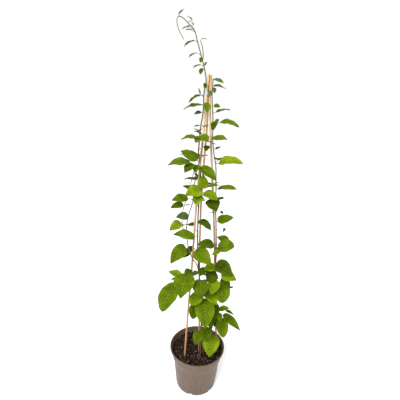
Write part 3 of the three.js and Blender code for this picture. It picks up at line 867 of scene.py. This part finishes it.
for cane_name, cane_line in CANE_LINES.items():
    split_cane(cane_name, cane_line, CANE_JOINTS[cane_name], CUT_SIDE_TO_LIGHT[cane_name])

# %% [markdown]
# ## Ties
# The CAD bands already follow the bundle of canes. A copy of each is merged, and a Bevel modifier softens
# its edges, because a moulded or wound band has no sharp ones.


# %% Softened bands
def soft_band(node, name, finish, softness):
    band = twin_of(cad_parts[node])
    band.parent = None
    for key in list(band.keys()):
        del band[key]
    pick(band)
    bpy.ops.object.mode_set(mode="EDIT")
    bpy.ops.mesh.select_all(action="SELECT")
    bpy.ops.mesh.remove_doubles(threshold=0.00001)
    bpy.ops.mesh.dissolve_limited(angle_limit=math.radians(1))
    bpy.ops.object.mode_set(mode="OBJECT")
    bevel = band.modifiers.new("soft_edges", "BEVEL")
    bevel.width = softness
    bevel.segments = 2
    bevel.limit_method = "ANGLE"
    bevel.angle_limit = math.radians(50)
    bpy.ops.object.modifier_apply(modifier=bevel.name)
    smooth_below(40)
    band.data.materials.clear()
    band.data.materials.append(finish)
    hand_over(band, name, node)


soft_band("tie_top", "tie_top_sleeve", TIE_PALE_AND_SHADED, 0.00035)
soft_band("tie_lower", "tie_lower_ring", TIE_BROWN, 0.0003)

# %% [markdown]
# ## Stems
# The shoots climb by twining. Each one is a list of points in millimetres, and a stretch that twines round
# a cane is worked out from that cane's line. Along with its line, a shoot has the radius and the age at its
# foot and tip, and its leaves.
#
# A leaf is a row of numbers: the height of its blade's base, the compass angle of its petiole (0 is to the
# right and 90 is to the back), the reach of the petiole, the turn of the blade from the petiole, the length
# of the blade, the angle at which it sets off above the level, the lean of its upper face to the front, its
# kind, and its colour. A kind is the width as a share of the length, the bend of the rib in degrees and the
# outline. A colour is the tone and the grey that the blade's finish reads.

# %% Kinds and colours of blade
POINTED = "pointed"
BLUNT = "blunt"
YOUNG = (0.38, 42, POINTED)
NARROW = (0.36, 20, POINTED)
HOOKED = (0.56, 60, POINTED)
ARCHED = (0.54, 36, POINTED)
OVATE = (0.64, 24, POINTED)
BROAD = (0.76, 18, POINTED)
OVAL = (0.62, 20, BLUNT)
ROUND = (0.84, 18, BLUNT)

DARK = (0.24, 0.0)
MID = (0.46, 0.0)
BRIGHT = (0.72, 0.0)
OLIVE = (0.52, 0.3)
GREY = (0.34, 0.55)
PALE = (0.85, 0.4)

# %% Stems and their leaves
TWINE_OFFSET = 5.4
TWINE_STEP = 30


def twine(cane, low, high, start_angle, rate):
    steps = round((high - low) / TWINE_STEP)
    points = []
    for step in range(steps + 1):
        height = low + (high - low) * step / steps
        centre = point_at(CANE_LINES[cane], height)
        angle = math.radians(start_angle + rate * (height - low))
        offset = Vector((math.cos(angle), math.sin(angle), 0)) * TWINE_OFFSET
        points.append(tuple(centre + offset))
    return tuple(points)


STEMS = {}


def add_shoot(stem, line, radii, ages, leaves):
    STEMS.setdefault(stem, []).append({"line": line, "radii": radii, "ages": ages, "leaves": leaves})
    print(f"{stem}: a shoot of {len(line)} points with {len(leaves)} leaves")

# %% [markdown]
# The main stem climbs beside the middle cane. Above the canes it is the thin leader, which arches over
# to the left. A short twig stands beside the leader.

# %% Main stem
add_shoot(
    "main_stem",
    line=(
        (16, -10, 60), (16, -10, 110), (14, -10, 150), (9, -8.5, 190),
        *twine("cane_middle", 230, 470, 0, -0.72),
        (-13.2, -1, 535), (-11, -2.5, 600), (-14, -2, 640), (-18.5, -3.5, 668), (-18, -5, 690),
        (-15.8, -7.2, 727), (-12.4, -5.6, 755), (-11.9, -5.4, 770), (-12.1, -5.5, 797),
        (-9, -5.2, 816), (-11, -5, 831), (-16, -4, 850), (-23, -4, 871), (-30, -4, 892),
        (-38, -4, 913), (-46, -4, 920), (-55, -4, 928), (-63, -4, 933), (-68, -4, 934),
        (-71, -4, 928), (-69, -4, 915), (-63, -4, 903), (-57, -4, 894),
    ),
    radii=(2.2, 1.95, 1.7, 1.45, 1.2, 0.95, 0.65),
    ages=(1.0, 0.95, 0.8, 0.7, 0.6, 0.55, 0.5, 0.12, 0.12, 0.45, 0.5),
    leaves=(
        (215, 60, 34, 30, 58, -25, 0, BROAD, DARK),
        (328, 165, 22, 15, 31, -30, 5, BROAD, DARK),
        (336, 345, 18, -70, 36, -65, 0, BROAD, DARK),
        (382, 335, 18, -95, 26, -15, 20, OVATE, GREY),
        (270, 75, 30, 10, 62, -20, 0, BROAD, DARK),
        (320, 60, 22, 40, 56, -15, 0, OVATE, DARK),
        (480, 130, 22, -10, 54, -10, 0, OVATE, DARK),
        (540, 100, 24, -20, 50, -5, 0, OVATE, DARK),
        (600, 120, 18, 20, 44, 0, 0, OVATE, DARK),
        (655, 80, 18, 0, 38, 5, 0, OVATE, DARK),
        (715, 110, 14, -20, 34, 5, 0, ARCHED, DARK),
        (428, 170, 8, 5, 28, -15, 35, OVATE, DARK),
        (430, 240, 12, 75, 58, -5, 40, OVATE, MID),
        (473, 256, 31, -61, 53, 30, 25, ARCHED, MID),
        (492, 95, 11, -75, 14, -15, 10, OVATE, GREY),
        (508, 290, 11, 25, 41, 0, 10, ARCHED, DARK),
        (564, 335, 29, -45, 42, -15, 15, BROAD, DARK),
        (578, 275, 28, -30, 32, -15, 20, BROAD, BRIGHT),
        (582, 295, 23, 25, 41, 0, 20, OVATE, BRIGHT),
        (590, 275, 27, -60, 41, 0, 40, BROAD, BRIGHT),
        (592, 300, 22, 40, 36, 35, 10, ARCHED, BRIGHT),
        (592, 285, 24, 165, 31, 80, 0, BROAD, BRIGHT),
        (596, 345, 12, 30, 15, 20, 10, OVATE, DARK),
        (634, 355, 12, 65, 16, 10, 20, BROAD, DARK),
        (684, 13, 19, -113, 18, -25, 0, BROAD, MID),
        (728, 205, 3, 0, 14, 0, 20, NARROW, GREY),
        (756, 205, 4, 0, 17, -5, 25, OVATE, GREY),
        (770, 280, 8, -80, 47, 10, 10, YOUNG, DARK),
        (776, 305, 10, -25, 24, -40, 0, OVATE, MID),
        (790, 210, 8, -5, 31, -10, 10, YOUNG, DARK),
        (792, 205, 9, 25, 14, 75, 5, NARROW, PALE),
        (814, 265, 5, 0, 13, -50, 10, OVATE, DARK),
        (842, 210, 6, 30, 14, -50, 10, OVATE, DARK),
        (848, 40, 3, 0, 9, 70, 10, ARCHED, DARK),
        (848, 200, 6, 5, 20, 0, 10, YOUNG, DARK),
        (862, 255, 4, 0, 12, -50, 10, OVATE, MID),
        (870, 200, 10, 5, 21, -10, 10, YOUNG, DARK),
        (892, 205, 7, 0, 27, -10, 10, YOUNG, DARK),
        (910, 205, 5, 0, 15, 15, 15, ARCHED, DARK),
        (916, 190, 11, 10, 15, -5, 10, ARCHED, DARK),
        (918, 205, 4, 0, 8, -5, 20, OVATE, DARK),
        (920, 340, 5, -115, 9, 45, 20, OVATE, DARK),
        (928, 350, 9, -135, 14, 45, 10, YOUNG, DARK),
        (936, 265, 5, 65, 15, 50, 15, OVATE, DARK),
    ),
)
add_shoot(
    "main_stem",
    line=(
        (-18, -4, 858), (-17, -1, 867), (-18.5, -1, 876), (-20, -2, 884), (-24, -2, 892),
    ),
    radii=(1, 0.8),
    ages=(0.3, 0.3),
    leaves=(
        (896, 340, 3, 0, 11, 15, 5, ARCHED, DARK),
    ),
)

# %% [markdown]
# The right stem winds round the right cane and ends beside the cane tops.

# %% Right stem
add_shoot(
    "right_stem",
    line=(
        (23, -6, 60), (23, -6, 110), (30, 2, 150), (38, 8, 195),
        *twine("cane_right", 240, 540, 250, 0.37),
        (25.5, 2, 562), (25.5, 0, 580), (23.5, -1, 613), (21.5, -1, 640), (15.5, 0, 668),
        (11.4, 0, 700), (9.4, 0.4, 742), (7.2, 4.2, 765),
        (5, 5.4, 790), (5.2, 4.6, 815), (5.2, 3.5, 824),
    ),
    radii=(2, 1),
    ages=(0.95, 0.6, 0.42, 0.2),
    leaves=(
        (228, 300, 7, -35, 33, -20, 0, OVATE, DARK),
        (228, 320, 26, -45, 51, -20, 5, OVAL, MID),
        (232, 345, 26, -30, 62, -5, 20, NARROW, MID),
        (250, 285, 25, 0, 27, -15, -10, OVATE, BRIGHT),
        (250, 335, 30, -10, 26, 5, 5, NARROW, DARK),
        (254, 295, 20, 50, 31, 40, 20, ARCHED, BRIGHT),
        (276, 235, 17, 45, 52, -25, 0, OVATE, DARK),
        (300, 40, 26, 30, 60, -20, 0, BROAD, DARK),
        (396, 335, 25, -100, 25, 0, 20, OVATE, DARK),
        (410, 60, 20, 20, 52, -10, 0, OVATE, DARK),
        (550, 70, 16, 20, 46, 0, 0, OVATE, DARK),
        (650, 60, 12, 30, 36, 10, 0, ARCHED, DARK),
        (338, 302, 22, -27, 51, -25, -5, ROUND, MID),
        (342, 345, 15, -35, 35, -5, 20, OVATE, DARK),
        (356, 266, 31, -12, 40, -25, 0, BROAD, BRIGHT),
        (368, 260, 13, -20, 38, -5, 30, ROUND, DARK),
        (374, 292, 33, 33, 43, 10, 45, OVATE, BRIGHT),
        (390, 262, 24, -50, 34, 10, 40, OVATE, BRIGHT),
        (392, 275, 11, 40, 55, 0, 40, OVATE, DARK),
        (432, 290, 23, -75, 24, 5, 25, ARCHED, BRIGHT),
        (434, 300, 8, 40, 43, 25, 35, ROUND, MID),
        (444, 245, 16, -45, 43, 20, 30, OVATE, DARK),
        (448, 0, 29, 145, 34, 15, 20, OVATE, MID),
        (488, 335, 23, -95, 12, -20, 10, ARCHED, MID),
        (504, 290, 11, 85, 41, 25, 25, OVATE, MID),
        (526, 265, 13, -70, 17, 30, -10, ARCHED, MID),
        (532, 315, 15, -5, 11, -15, 10, OVATE, MID),
        (586, 335, 5, 0, 48, 25, 10, ARCHED, MID),
        (596, 120, 7, -95, 13, 15, 0, NARROW, DARK),
        (646, 340, 7, -5, 59, 25, 25, ARCHED, BRIGHT),
        (676, 30, 5, 0, 15, 35, 10, ARCHED, MID),
        (688, 110, 6, -80, 12, -5, 5, NARROW, DARK),
        (694, 205, 12, 120, 13, 10, -10, NARROW, DARK),
        (704, 122, 8, 20, 14, -20, 10, OVATE, DARK),
        (700, 240, 4, 95, 37, 15, 20, OVATE, MID),
        (736, 330, 8, 90, 11, 45, 10, BROAD, MID),
        (736, 340, 15, -5, 46, 10, 15, ARCHED, MID),
        (738, 310, 8, -60, 24, -40, -10, OVATE, DARK),
        (756, 345, 7, 30, 34, 30, 10, YOUNG, MID),
        (770, 320, 4, 15, 15, 0, 40, BROAD, MID),
        (806, 290, 9, -10, 13, -50, 0, OVATE, GREY),
        (808, 335, 3, 0, 28, 10, -20, ARCHED, OLIVE),
        (822, 335, 2, 0, 24, 0, 25, ARCHED, OLIVE),
    ),
)

# %% [markdown]
# Three thin shoots grow at the left. The first climbs from the pot to the left cane, the second loops
# out from it, and the third is a short one with the large low leaves.

# %% Left shoots
add_shoot(
    "left_stem",
    line=(
        (10, -17, 60), (10, -17, 110), (9, -18, 170), (6, -20, 250), (2, -21, 320), (-6, -23, 375),
        (-12, -25, 398), (-21, -26.5, 412), (-30, -22, 430), (-37, -18, 460), (-39.5, -16, 490),
        (-35, -15, 524), (-27, -13, 554), (-25, -12, 590), (-23, -11.5, 612), (-18.5, -11, 640),
        (-14, -13.5, 660), (-9, -12.5, 700),
    ),
    radii=(1.6, 1),
    ages=(0.3, 0.45, 0.5, 0.45),
    leaves=(
        (378, 230, 4, 0, 20, 0, 20, OVATE, GREY),
        (380, 180, 20, 60, 28, -10, 25, BROAD, MID),
        (386, 310, 4, 0, 27, 0, 15, OVATE, DARK),
        (426, 95, 9, 80, 32, -25, 25, BROAD, DARK),
        (440, 185, 8, 45, 58, 5, 40, HOOKED, MID),
        (496, 20, 17, -170, 13, 5, 5, NARROW, GREY),
        (522, 270, 7, -65, 31, 15, 45, OVATE, GREY),
        (550, 215, 4, 0, 16, 0, -20, OVATE, GREY),
        (564, 195, 12, 10, 40, 10, 28, OVATE, MID),
        (584, 145, 8, 10, 23, 25, 20, ARCHED, DARK),
        (646, 195, 17, 5, 53, 15, 20, ARCHED, MID),
        (638, 310, 8, 15, 49, -15, 15, OVATE, MID),
        (654, 240, 9, -80, 44, 35, 30, OVATE, MID),
        (658, 165, 4, 0, 20, 50, 0, BROAD, MID),
        (664, 175, 33, 35, 11, 10, 10, NARROW, GREY),
        (702, 210, 11, -10, 41, 15, 10, ARCHED, MID),
        (706, 235, 9, 5, 25, -15, 10, BROAD, MID),
        (708, 220, 9, 90, 29, -10, 20, BROAD, MID),
        (710, 200, 5, -35, 18, 35, 10, ARCHED, DARK),
    ),
)
add_shoot(
    "left_stem",
    line=(
        (-38, -17.5, 468), (-45, -15.5, 480), (-50, -14.5, 500), (-50.5, -14, 521), (-48, -14, 539),
        (-41, -14, 564), (-34, -14, 595), (-30, -14.5, 614), (-26, -16, 632),
    ),
    radii=(1, 0.8),
    ages=(0.5, 0.5),
    leaves=(
        (504, 245, 6, -20, 36, -5, 40, OVATE, BRIGHT),
        (547, 205, 3, 0, 32, 10, 40, ARCHED, MID),
        (624, 320, 4, 0, 12, -20, 0, OVATE, DARK),
        (644, 340, 6, -80, 25, -20, 0, OVATE, DARK),
        (646, 230, 4, 0, 32, -20, 10, BROAD, DARK),
    ),
)
add_shoot(
    "left_stem",
    line=(
        (1, -21, 330), (-22, -29, 338), (-42, -27, 346), (-55, -24, 352),
    ),
    radii=(1.1, 0.9),
    ages=(0.5, 0.6),
    leaves=(
        (348, 190, 66, 60, 78, -20, -10, OVAL, MID),
        (352, 130, 11, 75, 27, 10, 0, NARROW, DARK),
        (360, 20, 6, 135, 36, 20, 30, ARCHED, BRIGHT),
        (376, 333, 22, -73, 66, -20, 0, BROAD, MID),
    ),
)

# %% [markdown]
# One short shoot at the front carries the leaves that hang over the pot.

# %% Front shoot
add_shoot(
    "front_shoot",
    line=(
        (17, -19, 60), (17, -19, 110), (14, -24, 160), (10, -27, 220), (8, -28, 280), (8, -27, 345),
    ),
    radii=(1.5, 1),
    ages=(0.8, 0.55),
    leaves=(
        (190, 352, 25, -90, 58, -20, 0, BROAD, BRIGHT),
        (198, 205, 6, 45, 38, -15, 0, BROAD, MID),
        (212, 0, 13, -95, 39, -20, 0, BROAD, DARK),
        (248, 30, 14, -100, 41, -15, 0, OVATE, DARK),
        (288, 185, 16, 75, 44, -15, 0, OVAL, DARK),
        (312, 280, 15, -5, 74, -20, 0, OVATE, MID),
        (320, 320, 10, -5, 41, -5, 10, OVATE, BRIGHT),
        (328, 252, 19, -22, 38, -15, 10, ROUND, BRIGHT),
        (362, 230, 13, 40, 45, -15, 0, ROUND, MID),
    ),
)

# %% Count of the leaves
leaf_count = sum(len(shoot["leaves"]) for shoots in STEMS.values() for shoot in shoots)
print("stems:", len(STEMS), "leaves:", leaf_count)

# %% [markdown]
# Shoots and leaf stalks are round bars that taper and bend. Each one is drawn as a Bezier curve with a
# round bevel. Its points carry their own radius, and automatic handles make it run smoothly through them.
# Then the curve is turned into a mesh, and the age of every point is stored for the bark's colour.

# %% Bars along curves
SHOOT_RESOLUTION = 6
SHOOT_BEVEL = 3
STALK_RESOLUTION = 3
STALK_BEVEL = 1


def share_of(values, share):
    place = share * (len(values) - 1)
    low = min(int(place), len(values) - 2)
    return values[low] + (values[low + 1] - values[low]) * (place - low)


def bars_along(name, lines, bevel, resolution):
    curve = bpy.data.curves.new(name, "CURVE")
    curve.dimensions = "3D"
    curve.bevel_depth = MM
    curve.bevel_resolution = bevel
    curve.resolution_u = resolution
    curve.use_fill_caps = True
    for points, radii in lines:
        spline = curve.splines.new("BEZIER")
        spline.bezier_points.add(len(points) - 1)
        for knot, point, radius in zip(spline.bezier_points, points, radii):
            knot.co = point
            knot.radius = radius
            knot.handle_left_type = "AUTO"
            knot.handle_right_type = "AUTO"
    bars = bpy.data.objects.new(name, curve)
    bpy.context.collection.objects.link(bars)
    pick(bars)
    bpy.ops.object.convert(target="MESH")
    bars = bpy.context.object
    bpy.ops.object.shade_smooth()
    return bars


def shoot_bar(name, shoot):
    points = [Vector(point) * MM for point in shoot["line"]]
    last = len(points) - 1
    radii = [share_of(shoot["radii"], place / last) for place in range(last + 1)]
    bar = bars_along(name, [(points, radii)], SHOOT_BEVEL, SHOOT_RESOLUTION)
    count = len(bar.data.vertices)
    ages = [share_of(shoot["ages"], place / (count - 1)) for place in range(count)]
    store(bar.data, "age", ages)
    bar.data.materials.append(SHOOT_BARK)
    return bar


# %% [markdown]
# ## Blades
# A blade starts as a flat grid with its rib along X, from 0 at the base to 1 at the tip. Each row is
# resized to the width of the leaf there. Every other point of the edge is pushed out and forwards, which
# makes the fine saw teeth, and the fields between the veins are lifted. There are four patterns: pointed
# and blunt, each with many rows for a full leaf and fewer for a small one.


# %% Outline of a blade
TIP_PINCH = 0.35


def width_curve(share, widest, swell, taper):
    return (share / widest) ** swell * ((1 - share) / (1 - widest)) ** taper


def pointed_width(share):
    return width_curve(share, 0.36, 0.5, 0.9) * (1 - TIP_PINCH * share ** 6)


def blunt_width(share):
    return width_curve(share, 0.435, 0.5, 0.65)


WIDTH_AT = {POINTED: pointed_width, BLUNT: blunt_width}


def hand_of(spot, width_at):
    share = min(max(spot.x, 0.004), 0.996)
    return max(-1.0, min(1.0, -spot.y / width_at(share)))


def field_lift(share, across):
    phase = (share - VEIN_SWEEP * across ** VEIN_CURVE) * VEIN_PAIRS
    field = abs(math.sin(math.pi * phase)) ** 0.7
    return field * math.sin(math.pi * min(across + 0.04, 1.0)) * math.sin(math.pi * min(share + 0.05, 1.0))


# %% Modelling the patterns
FULL_GRID = (56, 12)
SMALL_GRID = (28, 8)
SMALL_BLADE = 26
TOOTH_OUT = 1.06
TOOTH_FORWARD = 0.4
FIELD_LIFT = 0.011
ROW_NEAR = 0.25
EDGE_NEAR = 0.99


def pick_points(pattern, wanted):
    bpy.ops.object.mode_set(mode="EDIT")
    bpy.ops.mesh.select_all(action="DESELECT")
    bpy.ops.object.mode_set(mode="OBJECT")
    for vertex in pattern.data.vertices:
        vertex.select = wanted(vertex.co)
    bpy.ops.object.mode_set(mode="EDIT")


def blade_pattern(name, grid, width_at):
    rows, columns = grid
    bpy.ops.mesh.primitive_grid_add(
        x_subdivisions=rows, y_subdivisions=columns, size=1, location=(0.5, 0, 0)
    )
    pattern = settle(bpy.context.object)
    pattern.name = name
    pattern.data.uv_layers[0].name = "blade"
    near = ROW_NEAR / rows
    bpy.ops.object.mode_set(mode="EDIT")
    bpy.ops.mesh.select_mode(type="VERT")
    bpy.ops.object.mode_set(mode="OBJECT")
    for row in range(rows + 1):
        share = row / rows
        pick_points(pattern, lambda spot: abs(spot.x - share) < near)
        width = 2 * width_at(share) if 0 < row < rows else 0
        bpy.ops.transform.resize(value=(1, width, 1), center_override=(share, 0, 0))
        if row % 2 and row < rows - 1:
            edge = EDGE_NEAR * width / 2
            pick_points(pattern, lambda spot: abs(spot.x - share) < near and abs(spot.y) > edge)
            bpy.ops.transform.resize(value=(1, TOOTH_OUT, 1), center_override=(share, 0, 0))
            bpy.ops.transform.translate(value=(TOOTH_FORWARD / rows, 0, 0))
        bpy.ops.object.mode_set(mode="OBJECT")
    bpy.ops.object.mode_set(mode="EDIT")
    bpy.ops.mesh.select_all(action="SELECT")
    bpy.ops.mesh.remove_doubles(threshold=0.0001)
    bpy.ops.object.mode_set(mode="OBJECT")
    for vertex in pattern.data.vertices:
        hand = hand_of(vertex.co, width_at)
        vertex.co.z = FIELD_LIFT * field_lift(vertex.co.x, abs(hand))
    pattern.data.materials.append(BLADE_UPPER)
    pattern.data.materials.append(BLADE_UNDER)
    print(name, "faces:", len(pattern.data.polygons))
    return pattern


PATTERNS = {}
for shape, width_at in WIDTH_AT.items():
    for size, grid in (("full", FULL_GRID), ("small", SMALL_GRID)):
        PATTERNS[shape, size] = blade_pattern(f"blade_{shape}_{size}", grid, width_at)

# %% [markdown]
# Each leaf is a copy of a pattern with its own mesh. The rib bends down evenly from the base, so the place
# and direction of any point on it follow from an arc. The halves rise from the rib like the wings of a
# letter V, and the edge is waved. A seeded draw varies the fold, the ruffle and the colour from leaf to
# leaf. The stalk is a thin bar from the shoot to the base, and it runs on under the blade as the midrib.

# %% Bending a leaf
FOLD = math.radians(11)
FOLD_SPREAD = math.radians(5)
EDGE_WAVE = 0.018
RUFFLE = 0.014
RUFFLE_COUNT = (2.2, 3.6)
WAVES_ALONG_BLADE = 1.6
HALF_THICKNESS = 0.25
STALK_RADII = (0.95, 0.62, 0.6, 0.5, 0.38, 0.26, 0.14)
RIB_STOPS = (0.12, 0.35, 0.6, 0.88)
STALK_LIFT = 0.45
BOW_PLACE = 0.55
BOW_RISE = 0.08
RIB_DROP = 0.1
SLIM_LEAST = 0.55
SLIM_LENGTH = 80
TONE_SPREAD = 0.07
LEAF_SEED = 7


def compass(angle):
    turned = math.radians(angle)
    return Vector((math.cos(turned), math.sin(turned), 0))


class Rib:
    """The arc of one blade's rib, with its directions at any share of its length."""

    def __init__(self, base, heading, length, rise, lean, bend):
        self.base, self.length, self.bend = base, length, math.radians(bend)
        self.rise, self.level = math.radians(rise), compass(heading)
        self.level_side = Vector((self.level.y, -self.level.x, 0))
        self.roll = math.radians(lean) * (-1 if self.level.x < 0 else 1)

    def at(self, share):
        pitch = self.rise - self.bend * share
        across = self.length * (math.sin(self.rise) - math.sin(pitch)) / self.bend
        up = self.length * (math.cos(pitch) - math.cos(self.rise)) / self.bend
        along = self.level * math.cos(pitch) + Vector((0, 0, math.sin(pitch)))
        flat_normal = self.level_side.cross(along)
        side = self.level_side * math.cos(self.roll) - flat_normal * math.sin(self.roll)
        return self.base + self.level * across + Vector((0, 0, up)), side, side.cross(along)


def bend_blade(rib, kind, colour, draw):
    width, bend, shape = kind
    pattern = PATTERNS[shape, "small" if rib.length < SMALL_BLADE else "full"]
    width_at = WIDTH_AT[shape]
    blade = twin_of(pattern)
    fold = FOLD + draw.uniform(-1, 1) * FOLD_SPREAD
    ruffles = [(draw.uniform(*RUFFLE_COUNT), draw.uniform(0, 2 * math.pi)) for hand in (0, 1)]
    half_width = width * rib.length / 2
    for vertex in blade.data.vertices:
        share, lift = vertex.co.x, vertex.co.z
        hand = hand_of(vertex.co, width_at)
        spread = -vertex.co.y * half_width
        middle, side, normal = rib.at(share)
        wave = math.sin(2 * math.pi * WAVES_ALONG_BLADE * share + rib.length) * EDGE_WAVE
        count, start = ruffles[hand > 0]
        ruffle = math.sin(2 * math.pi * count * share + start) * RUFFLE * math.sin(math.pi * share)
        height = abs(spread) * math.sin(fold) + HALF_THICKNESS
        height += rib.length * (abs(hand) * hand * wave + hand * hand * ruffle + lift)
        vertex.co = (middle + side * spread * math.cos(fold) + normal * height) * MM
    tone, grey = colour
    tone += draw.uniform(-TONE_SPREAD, TONE_SPREAD)
    count = len(blade.data.vertices)
    store(blade.data, "tone", [tone] * count)
    store(blade.data, "grey", [grey] * count)
    return blade


def leaf(line, row, draw):
    height, angle, reach, turn, length, rise, lean, kind, colour = row
    root = point_at(line, height - STALK_LIFT * reach)
    base = root + compass(angle) * reach
    base.z = height
    rib = Rib(base, angle + turn, length, rise, lean, kind[1])
    bow = root.lerp(base, BOW_PLACE)
    bow.z += BOW_RISE * reach
    stalk = [root, bow, base]
    for share in RIB_STOPS:
        middle, side, normal = rib.at(share)
        stalk.append(middle - normal * RIB_DROP)
    slim = min(1.0, SLIM_LEAST + length / SLIM_LENGTH)
    radii = [radius * slim for radius in STALK_RADII]
    return ([point * MM for point in stalk], radii), bend_blade(rib, kind, colour, draw)


# %% Growing the stems
BLADE_THICKNESS = 0.5


def grow(node, shoots, draw):
    bars, stalks, blades = [], [], []
    for place, shoot in enumerate(shoots):
        bars.append(shoot_bar(f"{node}_shoot_{place}", shoot))
        for row in shoot["leaves"]:
            stalk, blade = leaf(shoot["line"], row, draw)
            stalks.append(stalk)
            blades.append(blade)
    stalk_bars = bars_along(node + "_stalks", stalks, STALK_BEVEL, STALK_RESOLUTION)
    stalk_bars.data.attributes.new("age", "FLOAT", "POINT")
    stalk_bars.data.materials.append(STALK)
    pick(*bars, stalk_bars)
    bpy.ops.object.join()
    hand_over(bpy.context.object, node + "_shoots", node)
    pick(*blades)
    bpy.ops.object.join()
    foliage = bpy.context.object
    shell = foliage.modifiers.new("thickness", "SOLIDIFY")
    shell.thickness = BLADE_THICKNESS * MM
    shell.offset = -1
    shell.material_offset = 1
    bpy.ops.object.modifier_apply(modifier=shell.name)
    smooth_below(60)
    hand_over(foliage, node + "_foliage", node)


draw = random.Random(LEAF_SEED)
for node, shoots in STEMS.items():
    grow(node, shoots, draw)
for pattern in PATTERNS.values():
    bpy.data.objects.remove(pattern)

# %% [markdown]
# The finished model must still fill the CAD box. The sizes of the two boxes are printed.

piece_box = [list(corner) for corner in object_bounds()]
for name, box in (("CAD", cad_box), ("pieces", piece_box)):
    print(name, "size in mm:", [round((high - low) / MM, 1) for low, high in zip(*box)])
